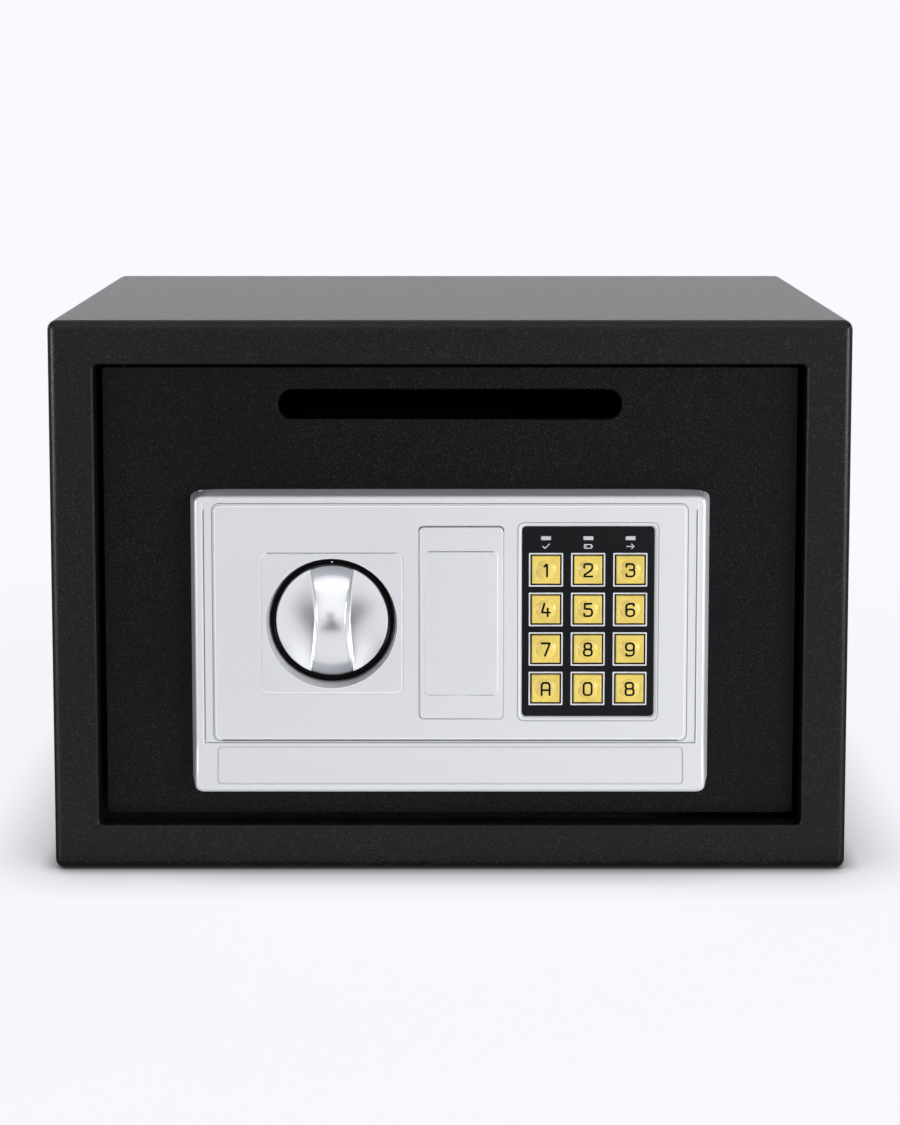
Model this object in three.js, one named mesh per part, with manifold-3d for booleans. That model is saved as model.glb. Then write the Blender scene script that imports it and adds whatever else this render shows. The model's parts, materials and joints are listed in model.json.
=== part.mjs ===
// A small deposit safe: steel body, recessed door with a deposit slot, and a moulded control panel with
// a knob, a pull-off key cover and a keypad. Behind the door are the bolts, their carriage and the lock.
// Millimetres. +Z is up, the front faces -Y, and the origin is the centre of the base.
// Pieces on the door are drawn from the door's front surface: there, y grows towards the inside.
import * as THREE from 'three';
import { mergeVertices } from 'three/addons/utils/BufferGeometryUtils.js';
import { RoundedBoxGeometry } from 'three/addons/geometries/RoundedBoxGeometry.js';
import Module from 'manifold-3d';

const wasm = await Module();
wasm.setup();

// Gaps between pieces
const SEAT = 0.3; // between fixed pieces that rest on each other
const RUN = 0.3; // round what turns or slides
const SLOT_RUN = 0.45; // each side of the drive pin in its slot
const PRESS = 0.1; // round what is pressed in or riveted

// Cutting and joining solids
const PAST = 1; // cutters run past the surfaces that they cut
const ROOT = 1; // joined solids reach into each other

// Body
const BODY_W = 350;
const BODY_H = 244;
const BODY_D = 250;
const WALL = 3;
const EDGE_R = 4;
const FRAME_SIDE = 20;
const FRAME_TOP = 19.2;
const FRAME_BOTTOM = 20.1;
const FRAME_CHAMFER = 0.9;
const OPENING_R = 2;
const BACK_T = 3;
const BACK_SET = 1; // the back panel lies this far inside the rear edge
const ANCHOR_R = 5;
const WALL_ANCHOR_PITCH = 180;
const WALL_ANCHOR_Z = 170;
const FLOOR_ANCHOR_PITCH = 150;
const MAT_T = 2;
const MAT_MARGIN = 3;

// Door
const DOOR_RECESS = 12;
const DOOR_GAP = 2.4;
const DOOR_T = 4;
const DOOR_R = 1.5;
const SLOT_W = 151;
const SLOT_H = 12.9;
const SLOT_CHAMFER = 0.8;
const SLOT_DROP = 16.4; // from the door's top edge to the slot's middle

// Hinge
const PIN_R = 3;
const PIN_INSET = 12.5; // from the door's right edge to the pin's axis
const PIN_BACK = 7.5; // from the door's front surface to the pin's axis
const PIN_REACH = 2.5; // past the bracket
const EAR_T = 3;
const EAR_R = 7;
const EAR_LEG_W = 17;
const EAR_LEG_H = 31;
const EAR_SET = 1; // from the door's edge to the ear
const BRACKET_T = 3;
const BRACKET_LEG_D = 26;
const BRACKET_SET = 0.6;
const BRACKET_TOE = 2; // left of its plate beside the leg

// Control panel, seen from the front
const PANEL_W = 224;
const PANEL_H = 131.6;
const PANEL_LOWER = 12.45; // its middle lies this far below halfway from the door's foot to the slot
const PANEL_T = 15; // front face from the door
const PANEL_WALL = 2.2;
const PANEL_DRAFT = 2.4; // the foot is wider than the front by this much each side
const PANEL_END_DRAFT = 0.9;
const PANEL_CORNER_R = 3.3;
const PANEL_ROUND = 2;
const PANEL_ROUND_SHARE = 0.8; // of a side's depth, at the most
const LEAST_R = 0.5; // of the hollow's corners
const CHIN_H = 21.9; // from the panel's lower edge to where the front starts to swell
const CHIN_SWELL = 3;
const CHIN_ROUND = 3.3;
const FIELD_SIDE = 9.1; // from the panel's side edges
const FIELD_TOP = 4.2; // from the panel's top edge
const FIELD_LOW = 1.8; // above the chin
const FIELD_R = 2.7;
const FIELD_RAISE = 0.7;
const BORDER_SIDE = 4.4;
const BORDER_TOP = 2.8;
const GROOVE_W = 0.8;
const GROOVE_D = 0.45;
const CHIN_PLATE_SIDE = 10;
const CHIN_PLATE_H = 15.7;
const CHIN_PLATE_LOW = 4.4;

// Knob and its recess
const KNOB_X = -51.8;
const KNOB_RISE = 9.5; // above the panel's middle
const KNOB_R = 24.7;
const KNOB_CROWN = 11.4; // from the rim to the top of the grip
const KNOB_RIM = 7; // the rim lies this far behind the panel's face
const GRIP_WAIST = 12.6;
const GRIP_END = 19.8;
const SCOOP_D = 1.8; // how far the scoops go below the rim
const KNOB_LIP = 0.6; // flat rim outside the scoops
const RING_W = 2.2;
const RING_T = 3.1;
const CUP_SLOPE = 1.3;
const CUP_FLOOR = 2;
const ESCUTCHEON = 62;
const ESCUTCHEON_R = 3.3;
const SPINDLE_R = 5;
const SPINDLE_GRIP = 5.4; // its length inside the knob

// Key cover and override lock
const COVER_X = 4.9;
const COVER_RISE = 9.7;
const COVER_W = 36.6;
const COVER_H = 85.3;
const COVER_R = 1.8;
const COVER_RAISE = 0.8;
const COVER_T = 1.8;
const COVER_SKIRT = 4;
const COVER_GAP = 0.45;
const COVER_PAD_W = 31.7;
const COVER_PAD_H = 63.7;
const COVER_PAD_RAISE = 0.4;
const BAY_D = 10;
const BARREL_R = 8;
const BARREL_HEAD_R = 11;
const BARREL_HEAD_T = 2;
const BARREL_REACH = 20; // behind the door
const PLUG_R = 5.5;
const PLUG_PROUD = 0.5;
const KEYHOLE_W = 1.6;
const KEYHOLE_H = 7.5;
const KEYHOLE_D = 8;
const OVERRIDE_ARM = 22;
const OVERRIDE_ARM_T = 2;
const OVERRIDE_HUB = 1; // the arm's hub is larger than the plug by this

// Keypad
const KEYPAD_X = 60.3;
const KEYPAD_RISE = 10.2;
const KEYPAD_W = 57.3;
const KEYPAD_H = 83.9;
const KEYPAD_R = 1.5;
const KEYPAD_T = 2.5;
const KEYPAD_SINK = 0.8;
const KEYPAD_MOUTH = 1.4; // the recess is wider than the plate by this much each side
const LEDGE_T = 2;
const LEDGE_W = 2.2;
const KEY_COLUMNS = 3;
const KEY_ROWS = 4;
const KEY_PITCH_X = 18.4;
const KEY_PITCH_Z = 17.6;
const KEY_DROP = 3.35; // the keys' middle lies this far below the plate's
const KEY_W = 12.3;
const KEY_R = 0.6;
const KEY_PROUD = 0.4;
const KEY_DOME_R = 4.45;
const KEY_DOME_H = 1.1;
const KEY_FLANGE = 0.8;
const KEY_FLANGE_T = 0.9;
const LIGHT_W = 4.3;
const LIGHT_H = 1.7;
const LIGHT_FOOT = 0.6;
const LIGHT_RISE = 37;
const BOARD_T = 1.6;
const BOARD_MARGIN = 1;
const WIRE_HOLE_W = 19;
const WIRE_HOLE_H = 14;

// Bolts and carriage
const KNOB_TURN = Math.PI / 2;
const CRANK_R = 10;
const CRANK_PIN_R = 3;
const CRANK_PIN_PROUD = 1; // in front of the carriage
const BOLT_TRAVEL = 2 * CRANK_R * Math.sin(KNOB_TURN / 2);
const BOLT_R = 9;
const BOLT_BACK = 21; // axis behind the door's front surface
const BOLT_PITCH = 46;
const BOLT_DROP = 8; // the bolts' middle below the knob's axis
const BOLT_TIP = 2.5;
const BOLT_TAIL_R = 4;
const BOLT_TAIL_HEAD = 6;
const BOLT_TAIL_T = 2;
const BOLT_TAIL_BEVEL = 1;
const BOLT_PROUD = 0.4; // drawn back, the bolts' ends stand out of the door's edge by this much
const CARRIAGE_T = 3;
const CARRIAGE_OFF = 5; // behind the door plate
const CARRIAGE_H = 74;
const CARRIAGE_END = 36; // from the knob's axis to the right end
const CARRIAGE_FLANGE = 20;
const GUIDE_T = 3;
const GUIDE_H = 86;
const GUIDE_FOOT = 13;
const STUD_R = 4;
const STUD_HEAD_R = 7;
const STUD_HEAD_T = 2;
const STUD_RISE = 24;
const STUD_SET = 18.4; // the left stud from the carriage's flange
const STUD_RIGHT = 6; // the right stud from the knob's axis
const DISC_R = 15;
const DISC_T = 4;
const HUB_R = 8;
const SPINDLE_END = 22;
const KEEPER_T = 3;
const KEEPER_D = 46;
const KEEPER_MARGIN = 16; // above and below the bolts' middles
const KEEPER_RUN = 2; // round the bolts in the keeper's windows

// Solenoid
const PLUNGER_X = -28;
const PLUNGER_BACK = 13;
const PLUNGER_R = 3;
const PLUNGER_THROW = 5;
const LUG_H = 6;
const LUG_D = 6;
const LUG_RUN = 0.5;
const PLUNGER_CLEAR = 1; // over the lug when drawn in
const PLUNGER_STEM = 5; // from its tip to the frame
const COIL_R = 6.5;
const COIL_H = 18;
const COIL_CHEEK = 1.2;
const YOKE_T = 1.5;
const YOKE_W = 20;
const YOKE_D = 17;

// Deposit chute
const CHUTE_T = 1.5;
const CHUTE_SIDE = 2; // inner wall past the slot's end
const CHUTE_LIP = 1.5; // floor below the slot's lower edge
const CHUTE_ROOF = 2.5; // roof above the slot's upper edge
const CHUTE_LEN = 50;
const CHUTE_OVER = 5.4; // clears the inner cover's rear edge by this much
const CHUTE_LEVEL = 10; // the roof runs level this far
const HOOD_REACH = 8;
const HOOD_LIP = 8;
const CHUTE_FLANGE = 5;

// Inner cover and what it holds
const CASE_LEFT = 7.4; // from the door's left edge
const CASE_RIGHT = 36.6;
const CASE_LOW = 12;
const CASE_D = 41.7; // behind the door plate
const CASE_WALL = 2;
const CASE_R = 4;
const CASE_BEVEL = 3;
const CELL_R = 7.25;
const CELL_L = 50.5;
const CELL_COUNT = 4;
const CELL_PITCH = 15.2;
const CELL_ROOM = 2; // for the contact springs
const CELL_BEVEL = 0.6;
const TERMINAL_R = 2.7;
const TERMINAL_H = 1.2;
const TRAY_T = 1.5;
const TRAY_FLANGE = 3;
const TRAY_SET = 54; // its middle from the inner cover's right side
const TRAY_RISE = 53.5;
const LID_T = 1.7;
const LID_TAB = 1.2;
const LID_TAB_W = 15;
const BUTTON_SET = 49.2; // from the inner cover's left side
const BUTTON_RISE = 25.5;
const BUTTON_R = 4.5;
const BUTTON_PROUD = 2;
const BUTTON_BEVEL = 0.8;
const BUTTON_FLANGE_R = 6.5;
const BUTTON_FLANGE_T = 1.5;
const BUTTON_L = 6;

// Roundness of curved surfaces
const ROUND = 18;
const SMALL_ROUND = 12;
const DOME_ROUND = 12;
const FINE_ROUND = 48;
const CORNER = 2;
const EDGE_STEPS = 3;
const SLOT_END_ROUND = 6;

// Places that follow from the sizes above
const FRONT_Y = -BODY_D / 2;
const REAR_Y = BODY_D / 2;
const INNER_X = BODY_W / 2 - WALL;
const OPEN_X = BODY_W / 2 - FRAME_SIDE;
const OPEN_Z0 = FRAME_BOTTOM;
const OPEN_Z1 = BODY_H - FRAME_TOP;
const DOOR_Y = FRONT_Y + DOOR_RECESS;
const DOOR_X = OPEN_X - DOOR_GAP;
const DOOR_Z0 = OPEN_Z0 + DOOR_GAP;
const DOOR_Z1 = OPEN_Z1 - DOOR_GAP;
const INSIDE = DOOR_T + SEAT; // where pieces seat on the door's back
const SLOT_Z = DOOR_Z1 - SLOT_DROP;
const HINGE_X = DOOR_X - PIN_INSET;
const PANEL_Z = (DOOR_Z0 + SLOT_Z) / 2 - PANEL_LOWER;
const PANEL_Z0 = PANEL_Z - PANEL_H / 2;
const PANEL_Z1 = PANEL_Z + PANEL_H / 2;
const CHIN_Z = PANEL_Z0 + CHIN_H;
const KNOB_Z = PANEL_Z + KNOB_RISE;
const COVER_Z = PANEL_Z + COVER_RISE;
const KEYPAD_Z = PANEL_Z + KEYPAD_RISE;
const FIELD_W = PANEL_W - 2 * FIELD_SIDE;
const BORDER_W = PANEL_W - 2 * BORDER_SIDE;
const CHIN_PLATE_W = PANEL_W - 2 * CHIN_PLATE_SIDE;
const PANEL_Y = -PANEL_T;
const BORDER_Y = PANEL_Y + FIELD_RAISE;
const RIM_Y = PANEL_Y + KNOB_RIM;
const RING_R = KNOB_R + RUN + RING_W;
const CUP_R = RING_R + SEAT;
const CUP_MOUTH_R = CUP_R + CUP_SLOPE;
const CUP_Y = RIM_Y + RING_T + SEAT; // front of the recess's floor
const BAY_Y = PANEL_Y + BAY_D;
const KEYPAD_Y = PANEL_Y + KEYPAD_SINK;
const LEDGE_Y = KEYPAD_Y + KEYPAD_T + SEAT;
const BOARD_Y = LEDGE_Y + LEDGE_T + SEAT;
const CARRIAGE_Y = DOOR_T + CARRIAGE_OFF;
const CARRIAGE_BACK = CARRIAGE_Y + CARRIAGE_T;
const CASE_X0 = -DOOR_X + CASE_LEFT;
const CASE_X1 = DOOR_X - CASE_RIGHT;
const CASE_Z0 = DOOR_Z0 + CASE_LOW;
const CASE_Y = DOOR_T + CASE_D;
const GUIDE_X = CASE_X0 + CASE_WALL + SEAT;
const FLANGE_X = GUIDE_X + GUIDE_T + BOLT_TRAVEL + 2 * RUN;
const BOLT_MID = KNOB_Z - BOLT_DROP;
const BOLT_ZS = [BOLT_MID - BOLT_PITCH / 2, BOLT_MID + BOLT_PITCH / 2];
const CARRIAGE_Z0 = BOLT_MID - CARRIAGE_H / 2;
const CARRIAGE_Z1 = BOLT_MID + CARRIAGE_H / 2;
const PIN_SLOT_X = KNOB_X + CRANK_R * Math.sin(KNOB_TURN / 2);
const PLUNGER_TIP = CARRIAGE_Z1 + LUG_H + PLUNGER_CLEAR;
const YOKE_Z0 = PLUNGER_TIP + PLUNGER_STEM;
const YOKE_Z1 = YOKE_Z0 + 2 * YOKE_T + 2 * SEAT + COIL_H;
const CASE_Z1 = YOKE_Z1 + SEAT + CASE_WALL;
const CASE_H = CASE_Z1 - CASE_Z0;
const CHUTE_FOOT = SLOT_Z - SLOT_H / 2 - CHUTE_LIP;
const CHUTE_SLOPE = (CHUTE_FOOT - CHUTE_T - CASE_Z1 - CHUTE_OVER) / (CASE_Y - INSIDE);
const TRAY_X = CASE_X1 - TRAY_SET;
const TRAY_Z = CASE_Z0 + TRAY_RISE;
const BUTTON_X = CASE_X0 + BUTTON_SET;
const BUTTON_Z = CASE_Z0 + BUTTON_RISE;
const TRAY_W = CELL_PITCH * CELL_COUNT + 2 * SEAT;
const TRAY_H = CELL_L + TERMINAL_H + CELL_ROOM;
const TRAY_DEPTH = 2 * CELL_R + 2 * SEAT + TRAY_T;

// Solids from geometry, and back
function solidOf(geometry) {
  const plain = geometry.clone();
  plain.deleteAttribute('normal');
  plain.deleteAttribute('uv');
  const merged = mergeVertices(plain, 1e-4);
  const points = merged.attributes.position;
  const corners = [];
  let volume = 0;
  const a = new THREE.Vector3();
  const b = new THREE.Vector3();
  const c = new THREE.Vector3();
  for (let i = 0; i < merged.index.count; i += 3) {
    const [p, q, r] = [0, 1, 2].map((k) => merged.index.getX(i + k));
    if (p === q || q === r || r === p) continue;
    corners.push([p, q, r]);
    a.fromBufferAttribute(points, p);
    b.fromBufferAttribute(points, q);
    c.fromBufferAttribute(points, r);
    volume += a.dot(b.cross(c));
  }
  const outward = volume > 0 ? corners : corners.map(([p, q, r]) => [p, r, q]);
  return new wasm.Manifold(new wasm.Mesh({
    numProp: 3,
    vertProperties: Float32Array.from(points.array),
    triVerts: Uint32Array.from(outward.flat()),
  }));
}

function geometryOf(solid) {
  const mesh = solid.getMesh();
  const geometry = new THREE.BufferGeometry();
  geometry.setAttribute('position', new THREE.BufferAttribute(mesh.vertProperties, 3));
  geometry.setIndex(new THREE.BufferAttribute(mesh.triVerts, 1));
  geometry.computeVertexNormals();
  return geometry;
}

function join(...solids) {
  return solids.flat().reduce((whole, piece) => whole.add(piece));
}

function cut(solid, ...tools) {
  return tools.flat().reduce((whole, tool) => whole.subtract(tool), solid);
}

// Outlines
function roundedRect(x0, x1, y0, y1, radius) {
  const shape = new THREE.Shape();
  shape.absarc(x1 - radius, y0 + radius, radius, -Math.PI / 2, 0);
  shape.absarc(x1 - radius, y1 - radius, radius, 0, Math.PI / 2);
  shape.absarc(x0 + radius, y1 - radius, radius, Math.PI / 2, Math.PI);
  shape.absarc(x0 + radius, y0 + radius, radius, Math.PI, 1.5 * Math.PI);
  return shape;
}

function centredRect(x, y, width, height, radius) {
  return roundedRect(x - width / 2, x + width / 2, y - height / 2, y + height / 2, radius);
}

function polygon(points) {
  return new THREE.Shape(points.map(([x, y]) => new THREE.Vector2(x, y)));
}

// Simple solids
function box(x0, x1, y0, y1, z0, z1) {
  const geometry = new THREE.BoxGeometry(x1 - x0, y1 - y0, z1 - z0);
  geometry.translate((x0 + x1) / 2, (y0 + y1) / 2, (z0 + z1) / 2);
  return solidOf(geometry);
}

function extrude(shape, length, segments) {
  return new THREE.ExtrudeGeometry(shape, { depth: length, bevelEnabled: false, curveSegments: segments });
}

// An outline in x and z, from y0 to y1
function prismY(shape, y0, y1, segments = CORNER) {
  const geometry = extrude(shape, y1 - y0, segments);
  geometry.rotateX(Math.PI / 2);
  geometry.translate(0, y1, 0);
  return solidOf(geometry);
}

// An outline in y and z, from x0 to x1
function prismX(shape, x0, x1, segments = CORNER) {
  const geometry = extrude(shape, x1 - x0, segments);
  geometry.rotateY(Math.PI / 2);
  geometry.rotateX(Math.PI / 2);
  geometry.translate(x0, 0, 0);
  return solidOf(geometry);
}

// An outline in x and y, from z0 to z1
function prismZ(shape, z0, z1, segments = CORNER) {
  const geometry = extrude(shape, z1 - z0, segments);
  geometry.translate(0, 0, z0);
  return solidOf(geometry);
}

function rodY(radius, y0, y1, x, z, sides = ROUND) {
  const geometry = new THREE.CylinderGeometry(radius, radius, y1 - y0, sides);
  geometry.translate(x, (y0 + y1) / 2, z);
  return solidOf(geometry);
}

function rodX(radius, x0, x1, y, z, sides = ROUND) {
  const geometry = new THREE.CylinderGeometry(radius, radius, x1 - x0, sides);
  geometry.rotateZ(Math.PI / 2);
  geometry.translate((x0 + x1) / 2, y, z);
  return solidOf(geometry);
}

function rodZ(radius, z0, z1, x, y, sides = ROUND) {
  const geometry = new THREE.CylinderGeometry(radius, radius, z1 - z0, sides);
  geometry.rotateX(Math.PI / 2);
  geometry.translate(x, y, (z0 + z1) / 2);
  return solidOf(geometry);
}

// A profile of [radius, height] points turned round an axis
function turned(profile, sides = ROUND) {
  return new THREE.LatheGeometry(profile.map(([r, h]) => new THREE.Vector2(r, h)), sides);
}

function turnedY(profile, x, z, sides = ROUND) {
  const geometry = turned(profile, sides);
  geometry.translate(x, 0, z);
  return solidOf(geometry);
}

function turnedX(profile, y, z, sides = ROUND) {
  const geometry = turned(profile, sides);
  geometry.rotateZ(-Math.PI / 2);
  geometry.translate(0, y, z);
  return solidOf(geometry);
}

function turnedZ(profile, x, y, sides = ROUND) {
  const geometry = turned(profile, sides);
  geometry.rotateX(Math.PI / 2);
  geometry.translate(x, y, 0);
  return solidOf(geometry);
}

// A closed solid through flat rings that have the same number of points
function loft(rings) {
  const count = rings[0].length;
  const index = [];
  for (let level = 0; level + 1 < rings.length; level += 1) {
    for (let i = 0; i < count; i += 1) {
      const here = level * count + i;
      const next = level * count + ((i + 1) % count);
      index.push(here, next, next + count, here, next + count, here + count);
    }
  }
  const lowest = capOf(rings[0]);
  const highest = capOf(rings[rings.length - 1]);
  const last = (rings.length - 1) * count;
  for (const [a, b, c] of lowest) index.push(a, c, b);
  for (const [a, b, c] of highest) index.push(last + a, last + b, last + c);
  const geometry = new THREE.BufferGeometry();
  const points = rings.flat().flatMap((point) => [point.x, point.y, point.z]);
  geometry.setAttribute('position', new THREE.Float32BufferAttribute(points, 3));
  geometry.setIndex(index);
  return solidOf(geometry);
}

// Triangles that fill a flat ring, turned the way that the ring runs
function capOf(ring) {
  const normal = new THREE.Vector3();
  for (let i = 0; i < ring.length; i += 1) {
    const here = ring[i];
    const next = ring[(i + 1) % ring.length];
    normal.x += (here.y - next.y) * (here.z + next.z);
    normal.y += (here.z - next.z) * (here.x + next.x);
    normal.z += (here.x - next.x) * (here.y + next.y);
  }
  const turn = new THREE.Quaternion().setFromUnitVectors(normal.normalize(), new THREE.Vector3(0, 0, 1));
  const flat = ring.map((point) => {
    const laid = point.clone().applyQuaternion(turn);
    return new THREE.Vector2(laid.x, laid.y);
  });
  return THREE.ShapeUtils.triangulateShape(flat, []);
}

// A rounded rectangle in x and z at one depth, as a ring for a loft
function rectRing(x, z, width, height, radius, y) {
  const shape = centredRect(x, z, width, height, radius);
  const points = shape.getPoints(CORNER);
  points.pop();
  return points.map((point) => new THREE.Vector3(point.x, y, point.y));
}

// A rectangular hole whose mouth, at y0, is wider than its bottom by this much each side
function taperedRect(x, z, width, height, radius, y0, y1, spread) {
  const mouth = rectRing(x, z, width + 2 * spread, height + 2 * spread, radius + spread, y0);
  return loft([mouth, rectRing(x, z, width, height, radius, y1)]);
}

// Meshes
function finish(color, roughness, metalness) {
  return new THREE.MeshStandardMaterial({ color, roughness, metalness, flatShading: true });
}

const paint = finish(0x26272a, 0.6, 0.1);
const silver = finish(0xdcdde2, 0.4, 0.3);
const knobSilver = finish(0xd2d3d8, 0.3, 0.6);
const black = finish(0x0b0b0d, 0.35, 0);
const gold = finish(0xe3c64f, 0.4, 0.1);
const steel = finish(0xa7a9ad, 0.35, 0.9);
const zinc = finish(0xb9b6a6, 0.4, 0.9);
const brass = finish(0xb9994f, 0.35, 0.9);
const greyPlastic = finish(0x3a3b3e, 0.6, 0);
const lamp = finish(0xcfd2d6, 0.3, 0);
const boardGreen = finish(0x1d5a3a, 0.5, 0);
const copper = finish(0x8f4a24, 0.45, 0.5);
const cellSleeve = finish(0x2b4a7a, 0.4, 0.1);
const red = finish(0xa81f1f, 0.4, 0);
const carpet = finish(0x2b2b2d, 0.95, 0);

function piece(name, solid, material, parent) {
  const mesh = new THREE.Mesh(geometryOf(solid), material);
  mesh.name = name;
  parent.add(mesh);
  return mesh;
}

// Body
function bodyShell() {
  const length = BODY_D + EDGE_R;
  const block = new RoundedBoxGeometry(BODY_W, length, BODY_H, EDGE_STEPS, EDGE_R);
  block.translate(0, FRONT_Y + length / 2, BODY_H / 2);
  const beyond = box(-BODY_W, BODY_W, REAR_Y, REAR_Y + 2 * EDGE_R, -WALL, BODY_H + WALL);
  const hole = roundedRect(-OPEN_X, OPEN_X, OPEN_Z0, OPEN_Z1, OPENING_R);
  const cavity = box(-INNER_X, INNER_X, FRONT_Y + WALL, REAR_Y + WALL, WALL, BODY_H - WALL);
  const frameX = OPEN_X + WALL;
  const frame = roundedRect(-frameX, frameX, OPEN_Z0 - WALL, OPEN_Z1 + WALL, OPENING_R + WALL);
  const returns = prismY(frame, FRONT_Y + WALL / 2, DOOR_Y);
  const opening = prismY(hole, FRONT_Y - WALL, DOOR_Y + WALL);
  const middle = (OPEN_Z0 + OPEN_Z1) / 2;
  const height = OPEN_Z1 - OPEN_Z0;
  const edgeFront = FRONT_Y - FRAME_CHAMFER;
  const edgeBack = FRONT_Y + FRAME_CHAMFER;
  const edge = taperedRect(0, middle, 2 * OPEN_X, height, OPENING_R, edgeFront, edgeBack, 2 * FRAME_CHAMFER);
  const anchors = [-1, 1].map((side) => rodZ(ANCHOR_R, -WALL, 2 * WALL, (side * FLOOR_ANCHOR_PITCH) / 2, 0));
  return cut(join(cut(solidOf(block), beyond, cavity), returns), opening, edge, anchors);
}

function backPanel() {
  const rear = REAR_Y - BACK_SET;
  const plate = box(-INNER_X + SEAT, INNER_X - SEAT, rear - BACK_T, rear, WALL + SEAT, BODY_H - WALL - SEAT);
  const holes = [-1, 1].map((side) => {
    return rodY(ANCHOR_R, rear - 2 * BACK_T, rear + BACK_T, (side * WALL_ANCHOR_PITCH) / 2, WALL_ANCHOR_Z);
  });
  return cut(plate, holes);
}

function floorMat() {
  const reach = INNER_X - MAT_MARGIN;
  const front = FRONT_Y + WALL + MAT_MARGIN;
  const rear = REAR_Y - BACK_SET - BACK_T - MAT_MARGIN;
  return prismZ(roundedRect(-reach, reach, front, rear, EDGE_R), WALL + SEAT, WALL + SEAT + MAT_T);
}

// The keeper behind the left jamb: the bolts enter its two square windows
function boltKeeper() {
  const right = -OPEN_X - WALL - SEAT;
  const left = -INNER_X + SEAT;
  const front = FRONT_Y + WALL + SEAT;
  const rear = front + KEEPER_D;
  const section = polygon([
    [right - KEEPER_T, front],
    [right, front],
    [right, rear],
    [left, rear],
    [left, rear - KEEPER_T],
    [right - KEEPER_T, rear - KEEPER_T],
  ]);
  const angle = prismZ(section, BOLT_ZS[0] - KEEPER_MARGIN, BOLT_ZS[1] + KEEPER_MARGIN);
  const y = DOOR_Y + BOLT_BACK;
  const half = BOLT_R + KEEPER_RUN;
  const windows = BOLT_ZS.map((z) => {
    return box(right - 2 * KEEPER_T, right + KEEPER_T, y - half, y + half, z - half, z + half);
  });
  return cut(angle, windows);
}

// A hinge bracket on the side wall. up is 1 above the door and -1 below it.
function hingeBracket(up) {
  const edge = up > 0 ? OPEN_Z1 : OPEN_Z0;
  const near = edge + up * BRACKET_SET;
  const far = near + up * BRACKET_T;
  const end = up > 0 ? BODY_H - WALL - SEAT : WALL + MAT_T + 2 * SEAT;
  const axisY = DOOR_Y + PIN_BACK;
  const front = DOOR_Y + SEAT;
  const rear = front + BRACKET_LEG_D;
  const right = INNER_X - SEAT;
  const left = HINGE_X - EAR_R;
  const section = polygon([
    [left, near],
    [right, near],
    [right, end],
    [right - BRACKET_T, end],
    [right - BRACKET_T, far],
    [left, far],
  ]);
  const angle = prismY(section, front, rear);
  const corner = prismZ(polygon([
    [left - PAST, axisY + EAR_R],
    [left - PAST, rear + PAST],
    [right - BRACKET_T - BRACKET_TOE, rear + PAST],
  ]), Math.min(near, far) - PAST, Math.max(near, far) + PAST);
  const low = Math.min(near, far) - PAST;
  const bore = rodZ(PIN_R + RUN, low, low + BRACKET_T + 2 * PAST, HINGE_X, axisY);
  return cut(angle, corner, bore);
}

// Door
function doorPlate() {
  const plate = prismY(roundedRect(-DOOR_X, DOOR_X, DOOR_Z0, DOOR_Z1, DOOR_R), 0, DOOR_T);
  const slotR = SLOT_H / 2;
  const slot = prismY(centredRect(0, SLOT_Z, SLOT_W, SLOT_H, slotR), -PAST, DOOR_T + PAST, SLOT_END_ROUND);
  const mouth = taperedRect(0, SLOT_Z, SLOT_W, SLOT_H, slotR, -SLOT_CHAMFER, SLOT_CHAMFER, 2 * SLOT_CHAMFER);
  const spindle = rodY(SPINDLE_R + RUN, -PAST, DOOR_T + PAST, KNOB_X, KNOB_Z);
  const barrel = rodY(BARREL_R + SEAT, -PAST, DOOR_T + PAST, COVER_X, COVER_Z);
  const wireHole = centredRect(KEYPAD_X, KEYPAD_Z, WIRE_HOLE_W, WIRE_HOLE_H, WALL);
  const wires = prismY(wireHole, -PAST, DOOR_T + PAST);
  return cut(plate, slot, mouth, spindle, barrel, wires);
}

// An ear on the door's back that carries a hinge pin
function hingeEar(up) {
  const edge = up > 0 ? DOOR_Z1 : DOOR_Z0;
  const near = edge - up * EAR_SET;
  const far = near - up * EAR_T;
  const end = near - up * EAR_LEG_H;
  const right = HINGE_X + EAR_R;
  const left = HINGE_X - EAR_R - EAR_LEG_W;
  const rear = PIN_BACK + EAR_R;
  const low = Math.min(near, far);
  const high = Math.max(near, far);
  const clear = box(left, right + PAST, -rear, INSIDE, low - PAST, high + PAST);
  const tongue = join(
    box(left, HINGE_X, INSIDE, rear, low, high),
    cut(rodZ(EAR_R, low, high, HINGE_X, PIN_BACK), clear),
  );
  const legLow = Math.min(near, end);
  const legHigh = Math.max(near, end);
  const leg = box(left, HINGE_X - EAR_R, INSIDE, INSIDE + EAR_T, legLow, legHigh);
  const bore = rodZ(PIN_R + PRESS, low - PAST, high + PAST, HINGE_X, PIN_BACK);
  return cut(join(tongue, leg), bore);
}

function hingePin(up) {
  const inner = (up > 0 ? DOOR_Z1 : DOOR_Z0) - up * (EAR_SET + EAR_T + PIN_REACH);
  const outer = (up > 0 ? OPEN_Z1 : OPEN_Z0) + up * (BRACKET_SET + BRACKET_T + PIN_REACH);
  const low = Math.min(inner, outer);
  const high = Math.max(inner, outer);
  const bevel = PIN_R / 4;
  return turnedZ([
    [0, low],
    [PIN_R - bevel, low],
    [PIN_R, low + bevel],
    [PIN_R, high - bevel],
    [PIN_R - bevel, high],
    [0, high],
  ], HINGE_X, PIN_BACK, SMALL_ROUND);
}

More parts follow.
